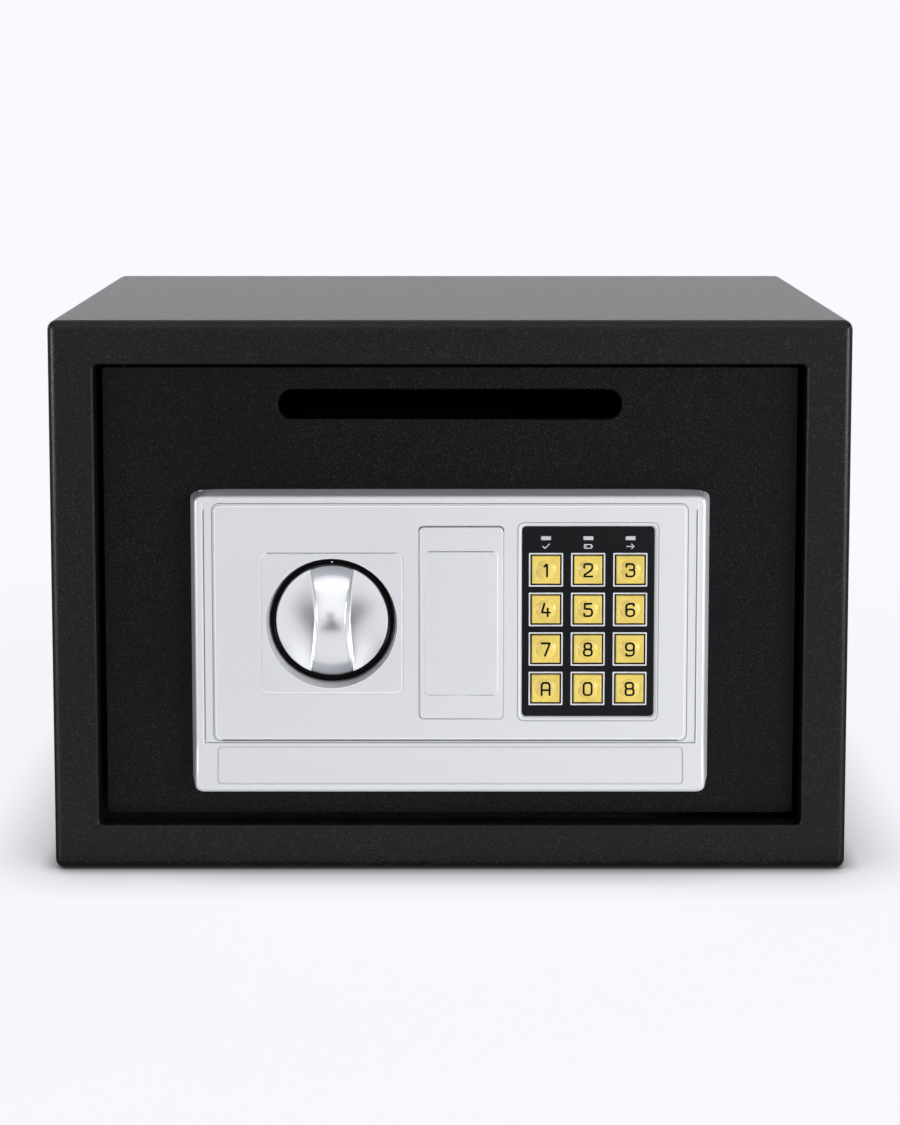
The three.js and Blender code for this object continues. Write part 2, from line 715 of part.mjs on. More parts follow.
// The chute: a sloping rectangular duct with a hood that turns down over its end
function depositChute() {
  const start = INSIDE;
  const end = start + CHUTE_LEN;
  const hoodEnd = end + HOOD_REACH;
  const floorZ = CHUTE_FOOT;
  const roofZ = SLOT_Z + SLOT_H / 2 + CHUTE_ROOF;
  const fall = (y) => CHUTE_SLOPE * (y - start);
  const roofFall = (y) => CHUTE_SLOPE * Math.max(0, y - start - CHUTE_LEVEL);
  const lipZ = roofZ - roofFall(hoodEnd) - HOOD_LIP;
  const outer = polygon([
    [start, floorZ - CHUTE_T],
    [end, floorZ - CHUTE_T - fall(end)],
    [end, floorZ - fall(end)],
    [hoodEnd, lipZ - CHUTE_T],
    [hoodEnd + CHUTE_T, lipZ - CHUTE_T],
    [hoodEnd + CHUTE_T, roofZ + CHUTE_T - roofFall(hoodEnd)],
    [start + CHUTE_LEVEL, roofZ + CHUTE_T],
    [start, roofZ + CHUTE_T],
  ]);
  const inner = polygon([
    [start - PAST, floorZ],
    [start, floorZ],
    [end + PAST, floorZ - fall(end + PAST)],
    [hoodEnd, lipZ - 3 * CHUTE_T],
    [hoodEnd, roofZ - roofFall(hoodEnd)],
    [start + CHUTE_LEVEL, roofZ],
    [start - PAST, roofZ],
  ]);
  const insideX = SLOT_W / 2 + CHUTE_SIDE;
  const duct = prismX(outer, -insideX - CHUTE_T, insideX + CHUTE_T);
  const flangeX = insideX + CHUTE_T + CHUTE_FLANGE;
  const flange = roundedRect(-flangeX, flangeX, floorZ - CHUTE_FLANGE, roofZ + CHUTE_FLANGE, CHUTE_T);
  return cut(join(duct, prismY(flange, start, start + CHUTE_T)), prismX(inner, -insideX, insideX));
}

// Control panel
// One level of the panel: its foot, sides that lean in, and front edges rounded by a quarter circle
function panelSection(z, foot, front, back, face, radius) {
  const steps = 4;
  const points = [];
  const arc = (side, step) => {
    const angle = (step / steps) * (Math.PI / 2);
    const x = front - radius + radius * Math.cos(angle);
    return new THREE.Vector3(side * x, face + radius - radius * Math.sin(angle), z);
  };
  points.push(new THREE.Vector3(-foot, back, z));
  for (let step = 0; step <= steps; step += 1) points.push(arc(-1, step));
  for (let step = steps; step >= 0; step -= 1) points.push(arc(1, step));
  points.push(new THREE.Vector3(foot, back, z));
  return points;
}

// The panel as a solid block, drawn in by inset on every side and open or closed at back
function panelBlock(inset, back) {
  const cornerR = Math.max(PANEL_CORNER_R - inset, LEAST_R);
  const topRound = Math.max(PANEL_ROUND - inset, LEAST_R);
  const lowRound = Math.max(CHIN_ROUND - inset, LEAST_R);
  const top = PANEL_Z1 - inset;
  const bottom = PANEL_Z0 + inset;
  const halfW = PANEL_W / 2 - inset;
  const swell = (z) => {
    const share = THREE.MathUtils.clamp((CHIN_Z - z) / (CHIN_Z - PANEL_Z0 - CHIN_ROUND), 0, 1);
    return CHIN_SWELL * Math.sin((share * Math.PI) / 2);
  };
  const faceAt = (z) => BORDER_Y + inset - swell(z);
  const narrow = (z) => {
    const over = Math.max(z - (top - cornerR), bottom + cornerR - z, 0);
    return cornerR - Math.sqrt(Math.max(cornerR ** 2 - Math.min(over, cornerR) ** 2, 0));
  };
  const footFace = Math.min(back - LEAST_R, BORDER_Y / 4);
  const section = (z, face) => {
    const front = halfW - narrow(z);
    const radius = Math.min(topRound, (back - face) * PANEL_ROUND_SHARE);
    return panelSection(z, front + PANEL_DRAFT, front, back, face, radius);
  };
  const rings = [section(bottom - PANEL_END_DRAFT, footFace)];
  const steps = 4;
  for (let step = 0; step <= steps; step += 1) {
    const angle = (step / steps) * (Math.PI / 2);
    const z = bottom + lowRound * (1 - Math.cos(angle));
    rings.push(section(z, faceAt(z) + lowRound * (1 - Math.sin(angle))));
  }
  const chinSteps = 5;
  for (let step = 1; step <= chinSteps; step += 1) {
    const z = bottom + lowRound + ((CHIN_Z - bottom - lowRound) * step) / chinSteps;
    rings.push(section(z, faceAt(z)));
  }
  rings.push(section(top - cornerR, faceAt(top - cornerR)));
  for (let step = 0; step <= steps; step += 1) {
    const angle = (step / steps) * (Math.PI / 2);
    const z = top - topRound + topRound * Math.sin(angle);
    rings.push(section(z, faceAt(z) + topRound * (1 - Math.cos(angle))));
  }
  rings.push(section(top + PANEL_END_DRAFT, footFace));
  return loft(rings);
}

// A narrow groove that follows an outline on the panel's front, open at the top if it has no top edge
function groove(x, z, width, height, radius, openTop) {
  const half = GROOVE_W / 2;
  const front = PANEL_Y - 2 * CHIN_SWELL;
  const outside = centredRect(x, z, width + GROOVE_W, height + GROOVE_W, radius + half);
  const inside = centredRect(x, z, width - GROOVE_W, height - GROOVE_W, radius - half);
  const line = cut(prismY(outside, front, 0), prismY(inside, front - PAST, PAST));
  if (!openTop) return line;
  const top = z + height / 2;
  return cut(line, box(x - width, x + width, front - PAST, PAST, top - radius, top + radius + GROOVE_W));
}

function panelHousing() {
  const block = panelBlock(0, -SEAT);
  const fieldZ0 = CHIN_Z + FIELD_LOW;
  const fieldZ1 = PANEL_Z1 - FIELD_TOP;
  const fieldZ = (fieldZ0 + fieldZ1) / 2;
  const fieldH = fieldZ1 - fieldZ0;
  const footW = FIELD_W + 2 * FIELD_RAISE;
  const footH = fieldH + 2 * FIELD_RAISE;
  const field = loft([
    rectRing(0, fieldZ, footW, footH, FIELD_R + FIELD_RAISE, BORDER_Y + ROOT),
    rectRing(0, fieldZ, footW, footH, FIELD_R + FIELD_RAISE, BORDER_Y),
    rectRing(0, fieldZ, FIELD_W, fieldH, FIELD_R, PANEL_Y),
  ]);
  const hollow = panelBlock(PANEL_WALL, PAST);
  const cup = rodY(CUP_MOUTH_R + CUP_FLOOR, BORDER_Y + ROOT, CUP_Y + CUP_FLOOR, KNOB_X, KNOB_Z, FINE_ROUND);
  const bayW = COVER_W + 2 * COVER_GAP;
  const bayH = COVER_H + 2 * COVER_GAP;
  const bayWall = 2 * CUP_FLOOR;
  const bayBlock = centredRect(COVER_X, COVER_Z, bayW + bayWall, bayH + bayWall, COVER_R);
  const bay = prismY(bayBlock, BORDER_Y + ROOT, BAY_Y + CUP_FLOOR);
  const seatW = KEYPAD_W + 2 * SEAT;
  const seatH = KEYPAD_H + 2 * SEAT;
  const seatBlock = centredRect(KEYPAD_X, KEYPAD_Z, seatW + bayWall, seatH + bayWall, KEYPAD_R);
  const seat = prismY(seatBlock, BORDER_Y + ROOT, LEDGE_Y + LEDGE_T);
  const shell = join(cut(join(block, field), hollow), cup, bay, seat);
  const front = PANEL_Y - CHIN_SWELL;
  const recess = turnedY([
    [0, front],
    [CUP_MOUTH_R + CUP_SLOPE, front],
    [CUP_MOUTH_R, PANEL_Y],
    [CUP_R, CUP_Y],
    [0, CUP_Y],
  ], KNOB_X, KNOB_Z, FINE_ROUND);
  const spindleHole = rodY(SPINDLE_R + RUN, front, 0, KNOB_X, KNOB_Z);
  const bayHole = prismY(centredRect(COVER_X, COVER_Z, bayW, bayH, COVER_R + COVER_GAP), front, BAY_Y);
  const barrelHole = rodY(BARREL_R + SEAT, front, 0, COVER_X, COVER_Z);
  const seatHole = prismY(centredRect(KEYPAD_X, KEYPAD_Z, seatW, seatH, KEYPAD_R + SEAT), front, LEDGE_Y);
  const mouth = KEYPAD_MOUTH - SEAT;
  const seatMouth = taperedRect(
    KEYPAD_X, KEYPAD_Z, seatW, seatH, KEYPAD_R + SEAT, PANEL_Y - mouth, PANEL_Y + mouth, 2 * mouth,
  );
  const windowW = KEYPAD_W - 2 * LEDGE_W;
  const windowH = KEYPAD_H - 2 * LEDGE_W;
  const window = prismY(centredRect(KEYPAD_X, KEYPAD_Z, windowW, windowH, KEYPAD_R), front, 0);
  const skin = panelBlock(GROOVE_D, PAST);
  const borderZ1 = PANEL_Z1 - BORDER_TOP;
  const lines = [
    groove(0, (CHIN_Z + borderZ1) / 2, BORDER_W, borderZ1 - CHIN_Z, FIELD_R, true),
    groove(0, PANEL_Z0 + CHIN_PLATE_LOW + CHIN_PLATE_H / 2, CHIN_PLATE_W, CHIN_PLATE_H, COVER_R, false),
  ];
  const ringLine = groove(KNOB_X, KNOB_Z, ESCUTCHEON, ESCUTCHEON, ESCUTCHEON_R, false);
  const ringSkin = box(-PANEL_W, PANEL_W, PANEL_Y + GROOVE_D, PAST, 0, BODY_H);
  return cut(
    shell,
    recess,
    spindleHole,
    bayHole,
    barrelHole,
    seatHole,
    seatMouth,
    window,
    lines.map((line) => line.subtract(skin)),
    ringLine.subtract(ringSkin),
  );
}

// Knob: a dome with a scoop on each side of a waisted grip
function knob() {
  const domeR = (KNOB_R ** 2 + KNOB_CROWN ** 2) / (2 * KNOB_CROWN);
  const crownY = RIM_Y - KNOB_CROWN;
  const back = CUP_Y - SEAT - RUN;
  const dome = [[0, crownY]];
  const steps = 7;
  for (let step = 1; step <= steps; step += 1) {
    const r = (KNOB_R * step) / steps;
    dome.push([r, crownY + domeR - Math.sqrt(domeR ** 2 - r ** 2)]);
  }
  dome.push([KNOB_R, back], [0, back]);
  const body = turnedY(dome, KNOB_X, KNOB_Z, FINE_ROUND);
  const bowl = [[0, crownY - PAST], [KNOB_R + PAST, crownY - PAST]];
  for (let step = steps; step >= 0; step -= 1) {
    const share = step / steps;
    bowl.push([(KNOB_R - KNOB_LIP) * share, RIM_Y + SCOOP_D * Math.cos((share * Math.PI) / 2)]);
  }
  bowl.splice(2, 0, [KNOB_R + PAST, RIM_Y]);
  const scoop = turnedY(bowl, KNOB_X, KNOB_Z, FINE_ROUND);
  const sag = (GRIP_END - GRIP_WAIST) / 2;
  const waistR = (KNOB_R ** 2 + sag ** 2) / (2 * sag);
  const sides = [-1, 1].map((side) => {
    const shape = new THREE.Shape();
    const centre = KNOB_X + side * (GRIP_WAIST / 2 + waistR);
    shape.absarc(centre, KNOB_Z, waistR, 0, 2 * Math.PI);
    return prismY(shape, crownY - PAST, back + PAST, FINE_ROUND);
  });
  const socket = rodY(SPINDLE_R + PRESS, RIM_Y - SPINDLE_GRIP + SEAT, back + PAST, KNOB_X, KNOB_Z);
  return cut(body, sides.map((side) => side.intersect(scoop)), socket);
}

function knobRing() {
  const outer = RING_R;
  const inner = KNOB_R + RUN;
  const crest = RING_W / 5;
  const foot = CUP_Y - SEAT;
  return turnedY([
    [inner, foot],
    [outer, foot],
    [outer, RIM_Y + 2 * crest],
    [outer - crest, RIM_Y],
    [inner + crest, RIM_Y - crest / 2],
    [inner, RIM_Y + crest],
    [inner, foot],
  ], KNOB_X, KNOB_Z, FINE_ROUND);
}

function knobSpindle() {
  const bevel = SPINDLE_R / 6;
  const front = RIM_Y - SPINDLE_GRIP + 2 * SEAT;
  return turnedY([
    [0, front],
    [SPINDLE_R, front],
    [SPINDLE_R, SPINDLE_END - bevel],
    [SPINDLE_R - bevel, SPINDLE_END],
    [0, SPINDLE_END],
  ], KNOB_X, KNOB_Z);
}

// The disc behind the carriage, with the pin that drives it. At rest the pin is up and to the right.
function driveDisc() {
  const front = CARRIAGE_BACK + RUN;
  const pinX = PIN_SLOT_X;
  const pinZ = KNOB_Z + CRANK_R * Math.cos(KNOB_TURN / 2);
  const disc = rodY(DISC_R, front, front + DISC_T, KNOB_X, KNOB_Z, FINE_ROUND / 2);
  const hub = rodY(HUB_R, front, SPINDLE_END - SPINDLE_R / 2, KNOB_X, KNOB_Z);
  const pin = rodY(CRANK_PIN_R, CARRIAGE_Y - CRANK_PIN_PROUD, front + ROOT, pinX, pinZ);
  const bore = rodY(SPINDLE_R + PRESS, CARRIAGE_Y, SPINDLE_END + PAST, KNOB_X, KNOB_Z);
  return cut(join(disc, hub, pin), bore);
}

// Key cover: a shallow lid with a skirt, and a raised pad on its front
function keyCover() {
  const front = PANEL_Y - COVER_RAISE;
  const bevel = COVER_RAISE;
  const lid = loft([
    rectRing(COVER_X, COVER_Z, COVER_W - bevel, COVER_H - bevel, COVER_R - bevel / 2, front),
    rectRing(COVER_X, COVER_Z, COVER_W, COVER_H, COVER_R, front + bevel),
    rectRing(COVER_X, COVER_Z, COVER_W, COVER_H, COVER_R, front + COVER_T + COVER_SKIRT),
  ]);
  const inside = prismY(
    centredRect(COVER_X, COVER_Z, COVER_W - 2 * COVER_T, COVER_H - 2 * COVER_T, COVER_R / 2),
    front + COVER_T,
    front + COVER_T + COVER_SKIRT + PAST,
  );
  const footW = COVER_PAD_W + COVER_PAD_RAISE;
  const footH = COVER_PAD_H + COVER_PAD_RAISE;
  const pad = loft([
    rectRing(COVER_X, COVER_Z, COVER_PAD_W, COVER_PAD_H, COVER_R, front - COVER_PAD_RAISE),
    rectRing(COVER_X, COVER_Z, footW, footH, COVER_R, front + COVER_T / 2),
  ]);
  return join(cut(lid, inside), pad);
}

// Override lock: a headed barrel, the plug that turns in it, and the arm on the plug's tail
function overrideBarrel() {
  const headFront = BAY_Y - SEAT - BARREL_HEAD_T;
  const headBack = BAY_Y - SEAT;
  const rear = DOOR_T + BARREL_REACH;
  const bevel = BARREL_HEAD_T / 3;
  const barrel = turnedY([
    [0, headFront],
    [BARREL_HEAD_R - bevel, headFront],
    [BARREL_HEAD_R, headFront + bevel],
    [BARREL_HEAD_R, headBack],
    [BARREL_R, headBack],
    [BARREL_R, rear],
    [0, rear],
  ], COVER_X, COVER_Z);
  return cut(barrel, rodY(PLUG_R + RUN, headFront - PAST, rear + PAST, COVER_X, COVER_Z));
}

function overridePlug() {
  const front = BAY_Y - SEAT - BARREL_HEAD_T - PLUG_PROUD;
  const rear = DOOR_T + BARREL_REACH;
  const tail = rear + SEAT + OVERRIDE_ARM_T + PLUG_PROUD;
  const body = turnedY([
    [0, front],
    [PLUG_R - PLUG_PROUD, front],
    [PLUG_R, front + PLUG_PROUD],
    [PLUG_R, rear],
    [PLUG_R / 2, rear],
    [PLUG_R / 2, tail],
    [0, tail],
  ], COVER_X, COVER_Z);
  const half = KEYHOLE_W / 2;
  const reach = KEYHOLE_H / 2;
  const keyhole = box(
    COVER_X - half, COVER_X + half, front - PAST, front + KEYHOLE_D, COVER_Z - reach, COVER_Z + reach,
  );
  return cut(body, keyhole);
}

function overrideArm() {
  const front = DOOR_T + BARREL_REACH + RUN;
  const outline = new THREE.Shape();
  const hubR = PLUG_R + OVERRIDE_HUB;
  const tipR = hubR / 2;
  outline.absarc(COVER_X, COVER_Z, hubR, 0, Math.PI);
  outline.absarc(COVER_X, COVER_Z - OVERRIDE_ARM, tipR, Math.PI, 2 * Math.PI);
  const arm = prismY(outline, front, front + OVERRIDE_ARM_T, 8);
  return cut(arm, rodY(PLUG_R / 2 + PRESS, front - PAST, front + OVERRIDE_ARM_T + PAST, COVER_X, COVER_Z));
}

// Keypad
function keyPlaces() {
  const places = [];
  for (let row = 0; row < KEY_ROWS; row += 1) {
    for (let column = 0; column < KEY_COLUMNS; column += 1) {
      const x = KEYPAD_X + (column - (KEY_COLUMNS - 1) / 2) * KEY_PITCH_X;
      const z = KEYPAD_Z - KEY_DROP + ((KEY_ROWS - 1) / 2 - row) * KEY_PITCH_Z;
      places.push({ row, column, x, z });
    }
  }
  return places;
}

function lightPlaces() {
  return [-1, 0, 1].map((side) => ({ x: KEYPAD_X + side * KEY_PITCH_X, z: KEYPAD_Z + LIGHT_RISE }));
}

function keypadPlate() {
  const plate = prismY(
    centredRect(KEYPAD_X, KEYPAD_Z, KEYPAD_W, KEYPAD_H, KEYPAD_R), KEYPAD_Y, KEYPAD_Y + KEYPAD_T,
  );
  const hole = KEY_W + 2 * RUN;
  const keys = keyPlaces().map(({ x, z }) => {
    return prismY(centredRect(x, z, hole, hole, KEY_R + RUN), KEYPAD_Y - PAST, KEYPAD_Y + KEYPAD_T + PAST, 1);
  });
  const lights = lightPlaces().map(({ x, z }) => {
    const halfW = LIGHT_W / 2 + SEAT / 2;
    const halfH = LIGHT_H / 2 + SEAT / 2;
    return box(x - halfW, x + halfW, KEYPAD_Y - PAST, KEYPAD_Y + KEYPAD_T + PAST, z - halfH, z + halfH);
  });
  return cut(plate, keys, lights);
}

// One key, drawn about its own middle: a square cap with a dome, and a flange behind the plate
function keyCap() {
  const front = KEYPAD_Y - KEY_PROUD;
  const flangeY = KEYPAD_Y + KEYPAD_T + RUN;
  const flangeW = KEY_W + 2 * RUN + 2 * KEY_FLANGE;
  const cap = prismY(centredRect(0, 0, KEY_W, KEY_W, KEY_R), front, flangeY + KEY_FLANGE_T, 1);
  const flange = prismY(centredRect(0, 0, flangeW, flangeW, KEY_R), flangeY, flangeY + KEY_FLANGE_T, 1);
  const domeR = (KEY_DOME_R ** 2 + KEY_DOME_H ** 2) / (2 * KEY_DOME_H);
  const profile = [[0, front - KEY_DOME_H]];
  const steps = 3;
  for (let step = 1; step <= steps; step += 1) {
    const r = (KEY_DOME_R * step) / steps;
    profile.push([r, front - KEY_DOME_H + domeR - Math.sqrt(domeR ** 2 - r ** 2)]);
  }
  profile.push([KEY_DOME_R, front + ROOT], [0, front + ROOT]);
  return join(cap, flange, turnedY(profile, 0, 0, DOME_ROUND));
}

function indicatorLight() {
  const foot = BOARD_Y - SEAT;
  const wide = LIGHT_W / 2 + LIGHT_FOOT;
  const high = LIGHT_H / 2 + LIGHT_FOOT;
  const shoulder = KEYPAD_Y + KEYPAD_T + SEAT;
  return join(
    box(-LIGHT_W / 2, LIGHT_W / 2, KEYPAD_Y, shoulder + ROOT, -LIGHT_H / 2, LIGHT_H / 2),
    box(-wide, wide, shoulder, foot, -high, high),
  );
}

function circuitBoard() {
  const width = KEYPAD_W - 2 * BOARD_MARGIN;
  const height = KEYPAD_H - 2 * BOARD_MARGIN;
  return prismY(centredRect(KEYPAD_X, KEYPAD_Z, width, height, KEYPAD_R), BOARD_Y, BOARD_Y + BOARD_T);
}

// Lock work behind the door
function boltCarriage() {
  const left = FLANGE_X;
  const right = KNOB_X + CARRIAGE_END;
  const plate = box(left, right, CARRIAGE_Y, CARRIAGE_BACK, CARRIAGE_Z0, CARRIAGE_Z1);
  const flangeBack = CARRIAGE_BACK + CARRIAGE_FLANGE;
  const flange = box(left, left + CARRIAGE_T, CARRIAGE_Y, flangeBack, CARRIAGE_Z0, CARRIAGE_Z1);
  const lugLeft = PLUNGER_X + PLUNGER_R + LUG_RUN;
  const lugRight = lugLeft + BOLT_TRAVEL - 2 * PLUNGER_R - 2 * LUG_RUN;
  const lugLow = CARRIAGE_Z1 - LUG_H;
  const lug = box(lugLeft, lugRight, CARRIAGE_Y, CARRIAGE_BACK + LUG_D, lugLow, CARRIAGE_Z1 + LUG_H);
  const longSlot = (x, z, half) => {
    const outline = roundedRect(x - half, x + BOLT_TRAVEL + half, z - half, z + half, half);
    return prismY(outline, CARRIAGE_Y - PAST, CARRIAGE_BACK + PAST, SLOT_END_ROUND);
  };
  const spindleSlot = longSlot(KNOB_X, KNOB_Z, SPINDLE_R + RUN);
  const pinHalf = CRANK_PIN_R + SLOT_RUN;
  const pinTop = KNOB_Z + CRANK_R + pinHalf;
  const pinSlot = box(
    PIN_SLOT_X - pinHalf, PIN_SLOT_X + pinHalf, CARRIAGE_Y - PAST, CARRIAGE_BACK + PAST, KNOB_Z, pinTop,
  );
  const studSlots = studPlaces().map(({ x, z }) => longSlot(x, z, STUD_R + RUN));
  const tailHoles = BOLT_ZS.map((z) => {
    return rodX(BOLT_TAIL_R + PRESS, left - PAST, left + CARRIAGE_T + PAST, BOLT_BACK, z);
  });
  return cut(join(plate, flange, lug), spindleSlot, pinSlot, studSlots, tailHoles);
}

function studPlaces() {
  return [
    { x: FLANGE_X + CARRIAGE_T + STUD_SET, z: KNOB_Z },
    { x: KNOB_X + STUD_RIGHT, z: KNOB_Z - STUD_RISE },
  ];
}

function guideStud(x, z) {
  const head = CARRIAGE_BACK + RUN;
  return turnedY([
    [0, INSIDE],
    [STUD_HEAD_R, INSIDE],
    [STUD_HEAD_R, CARRIAGE_Y - RUN],
    [STUD_R, CARRIAGE_Y - RUN],
    [STUD_R, head],
    [STUD_HEAD_R, head],
    [STUD_HEAD_R, head + STUD_HEAD_T],
    [0, head + STUD_HEAD_T],
  ], x, z, SMALL_ROUND);
}

// A round bolt with a bevelled end and a riveted tail through the carriage's flange
function lockBolt(z) {
  const tip = -DOOR_X - BOLT_PROUD;
  const shoulder = FLANGE_X - SEAT;
  const tail = FLANGE_X + CARRIAGE_T + SEAT;
  return turnedX([
    [0, tip],
    [BOLT_R - BOLT_TIP, tip],
    [BOLT_R, tip + BOLT_TIP],
    [BOLT_R, shoulder],
    [BOLT_TAIL_R, shoulder],
    [BOLT_TAIL_R, tail],
    [BOLT_TAIL_HEAD, tail],
    [BOLT_TAIL_HEAD - BOLT_TAIL_BEVEL, tail + BOLT_TAIL_T],
    [0, tail + BOLT_TAIL_T],
  ], BOLT_BACK, z);
}

function boltGuide() {
  const low = BOLT_MID - GUIDE_H / 2;
  const high = BOLT_MID + GUIDE_H / 2;
  const rear = BOLT_BACK + BOLT_R + 2 * GUIDE_T;
  const angle = prismZ(polygon([
    [GUIDE_X, INSIDE],
    [GUIDE_X + GUIDE_FOOT, INSIDE],
    [GUIDE_X + GUIDE_FOOT, INSIDE + GUIDE_T],
    [GUIDE_X + GUIDE_T, INSIDE + GUIDE_T],
    [GUIDE_X + GUIDE_T, rear],
    [GUIDE_X, rear],
  ]), low, high);
  const holes = BOLT_ZS.map((z) => rodX(BOLT_R + RUN, GUIDE_X - PAST, GUIDE_X + GUIDE_T + PAST, BOLT_BACK, z));
  return cut(angle, holes);
}

// Solenoid
function solenoidYoke() {
  const left = PLUNGER_X - YOKE_W / 2;
  const right = PLUNGER_X + YOKE_W / 2;
  const section = polygon([
    [INSIDE, YOKE_Z0],
    [INSIDE + YOKE_D, YOKE_Z0],
    [INSIDE + YOKE_D, YOKE_Z0 + YOKE_T],
    [INSIDE + YOKE_T, YOKE_Z0 + YOKE_T],
    [INSIDE + YOKE_T, YOKE_Z1 - YOKE_T],
    [INSIDE + YOKE_D, YOKE_Z1 - YOKE_T],
    [INSIDE + YOKE_D, YOKE_Z1],
    [INSIDE, YOKE_Z1],
  ]);
  const hole = rodZ(PLUNGER_R + RUN, YOKE_Z0 - PAST, YOKE_Z0 + YOKE_T + PAST, PLUNGER_X, PLUNGER_BACK);
  return cut(prismX(section, left, right), hole);
}

function solenoidCoil() {
  const low = YOKE_Z0 + YOKE_T + SEAT;
  const high = low + COIL_H;
  const bobbinR = COIL_R;
  const windingR = COIL_R - COIL_CHEEK / 2;
  const bore = PLUNGER_R + RUN;
  return turnedZ([
    [bore, low],
    [bobbinR, low],
    [bobbinR, low + COIL_CHEEK],
    [windingR, low + COIL_CHEEK],
    [windingR, high - COIL_CHEEK],
    [bobbinR, high - COIL_CHEEK],
    [bobbinR, high],
    [bore, high],
    [bore, low],
  ], PLUNGER_X, PLUNGER_BACK, SMALL_ROUND);
}

function solenoidPlunger() {
  const top = YOKE_Z1 - YOKE_T - 2 * SEAT - PLUNGER_THROW / 2;
  const bevel = PLUNGER_R / 4;
  return turnedZ([
    [0, PLUNGER_TIP],
    [PLUNGER_R - bevel, PLUNGER_TIP],
    [PLUNGER_R, PLUNGER_TIP + bevel],
    [PLUNGER_R, top],
    [0, top],
  ], PLUNGER_X, PLUNGER_BACK, SMALL_ROUND);
}

// Inner cover: a moulded box over the lock work
function lockCase() {
  const width = CASE_X1 - CASE_X0;
  const x = (CASE_X0 + CASE_X1) / 2;
  const z = (CASE_Z0 + CASE_Z1) / 2;
  const outer = loft([
    rectRing(x, z, width, CASE_H, CASE_R, INSIDE),
    rectRing(x, z, width, CASE_H, CASE_R, CASE_Y - CASE_BEVEL),
    rectRing(x, z, width - 2 * CASE_BEVEL, CASE_H - 2 * CASE_BEVEL, CASE_R - CASE_WALL / 2, CASE_Y),
  ]);
  const innerW = width - 2 * CASE_WALL;
  const innerH = CASE_H - 2 * CASE_WALL;
  const inner = loft([
    rectRing(x, z, innerW, innerH, CASE_R - CASE_WALL, DOOR_T - PAST),
    rectRing(x, z, innerW, innerH, CASE_R - CASE_WALL, CASE_Y - CASE_WALL - CASE_BEVEL),
    rectRing(x, z, innerW - 2 * CASE_BEVEL, innerH - 2 * CASE_BEVEL, CASE_R - CASE_WALL, CASE_Y - CASE_WALL),
  ]);
  const notchR = BOLT_R + KEEPER_RUN;
  const notches = BOLT_ZS.flatMap((height) => [
    rodX(notchR, CASE_X0 - PAST, CASE_X0 + CASE_WALL + PAST, BOLT_BACK, height),
    box(CASE_X0 - PAST, CASE_X0 + CASE_WALL + PAST, 0, BOLT_BACK, height - notchR, height + notchR),
  ]);
  const window = prismY(
    centredRect(TRAY_X, TRAY_Z, TRAY_W, TRAY_H, CASE_WALL), CASE_Y - 2 * CASE_WALL, CASE_Y + PAST,
  );
  const button = rodY(BUTTON_R + RUN, CASE_Y - 2 * CASE_WALL, CASE_Y + PAST, BUTTON_X, BUTTON_Z);
  return cut(outer, inner, notches, window, button);
}

function batteryTray() {
  const front = CASE_Y - CASE_WALL - SEAT - TRAY_DEPTH;
  const back = CASE_Y - CASE_WALL - SEAT;
  const walls = 2 * TRAY_T;
  const shell = prismY(centredRect(TRAY_X, TRAY_Z, TRAY_W + walls, TRAY_H + walls, TRAY_T), front, back);
  const rimW = TRAY_W + walls + 2 * TRAY_FLANGE;
  const rimH = TRAY_H + walls + 2 * TRAY_FLANGE;
  const rim = prismY(centredRect(TRAY_X, TRAY_Z, rimW, rimH, TRAY_T), back - TRAY_T, back);
  const inside = prismY(centredRect(TRAY_X, TRAY_Z, TRAY_W, TRAY_H, TRAY_T / 2), front + TRAY_T, back + PAST);
  return cut(join(shell, rim), inside);
}

function batteryCell(index) {
  const x = TRAY_X + (index - (CELL_COUNT - 1) / 2) * CELL_PITCH;
  const y = CASE_Y - CASE_WALL - SEAT - CELL_R - SEAT;
  const up = index % 2 ? 1 : -1;
  const foot = TRAY_Z - (up * CELL_L) / 2 - (up * TERMINAL_H) / 2;
  const top = foot + up * CELL_L;
  const tip = top + up * TERMINAL_H;
  return turnedZ([
    [0, foot],
    [CELL_R - CELL_BEVEL, foot],
    [CELL_R, foot + up * CELL_BEVEL],
    [CELL_R, top - up * CELL_BEVEL],
    [CELL_R - CELL_BEVEL, top],
    [TERMINAL_R, top],
    [TERMINAL_R, tip],
    [0, tip],
  ], x, y, SMALL_ROUND);
}

function batteryCover() {
  const width = TRAY_W - 2 * COVER_GAP;
  const height = TRAY_H - 2 * COVER_GAP;
  const lid = prismY(centredRect(TRAY_X, TRAY_Z, width, height, CASE_WALL - COVER_GAP), CASE_Y - LID_T, CASE_Y);
  const tabZ = TRAY_Z + height / 2 - LID_TAB * 4;
  const tabY = CASE_Y + LID_TAB;
  const tab = taperedRect(TRAY_X, tabZ, LID_TAB_W, LID_TAB, LID_TAB / 3, CASE_Y - LID_T / 2, tabY, LID_TAB);
  return join(lid, tab);
}

function resetButton() {
  const back = CASE_Y + BUTTON_PROUD;
  const flange = CASE_Y - CASE_WALL - RUN;
  return turnedY([
    [0, back],
    [BUTTON_R - BUTTON_BEVEL, back],
    [BUTTON_R, back - BUTTON_BEVEL],
    [BUTTON_R, flange],
    [BUTTON_FLANGE_R, flange],
    [BUTTON_FLANGE_R, flange - BUTTON_FLANGE_T],
    [BUTTON_R / 2, flange - BUTTON_FLANGE_T],
    [BUTTON_R / 2, flange - BUTTON_L],
    [0, flange - BUTTON_L],
  ], BUTTON_X, BUTTON_Z);
}

// Assembly
const safe = new THREE.Group();
const cabinet = new THREE.Group();
const door = new THREE.Group();
door.position.set(0, DOOR_Y, 0);
safe.add(cabinet, door);

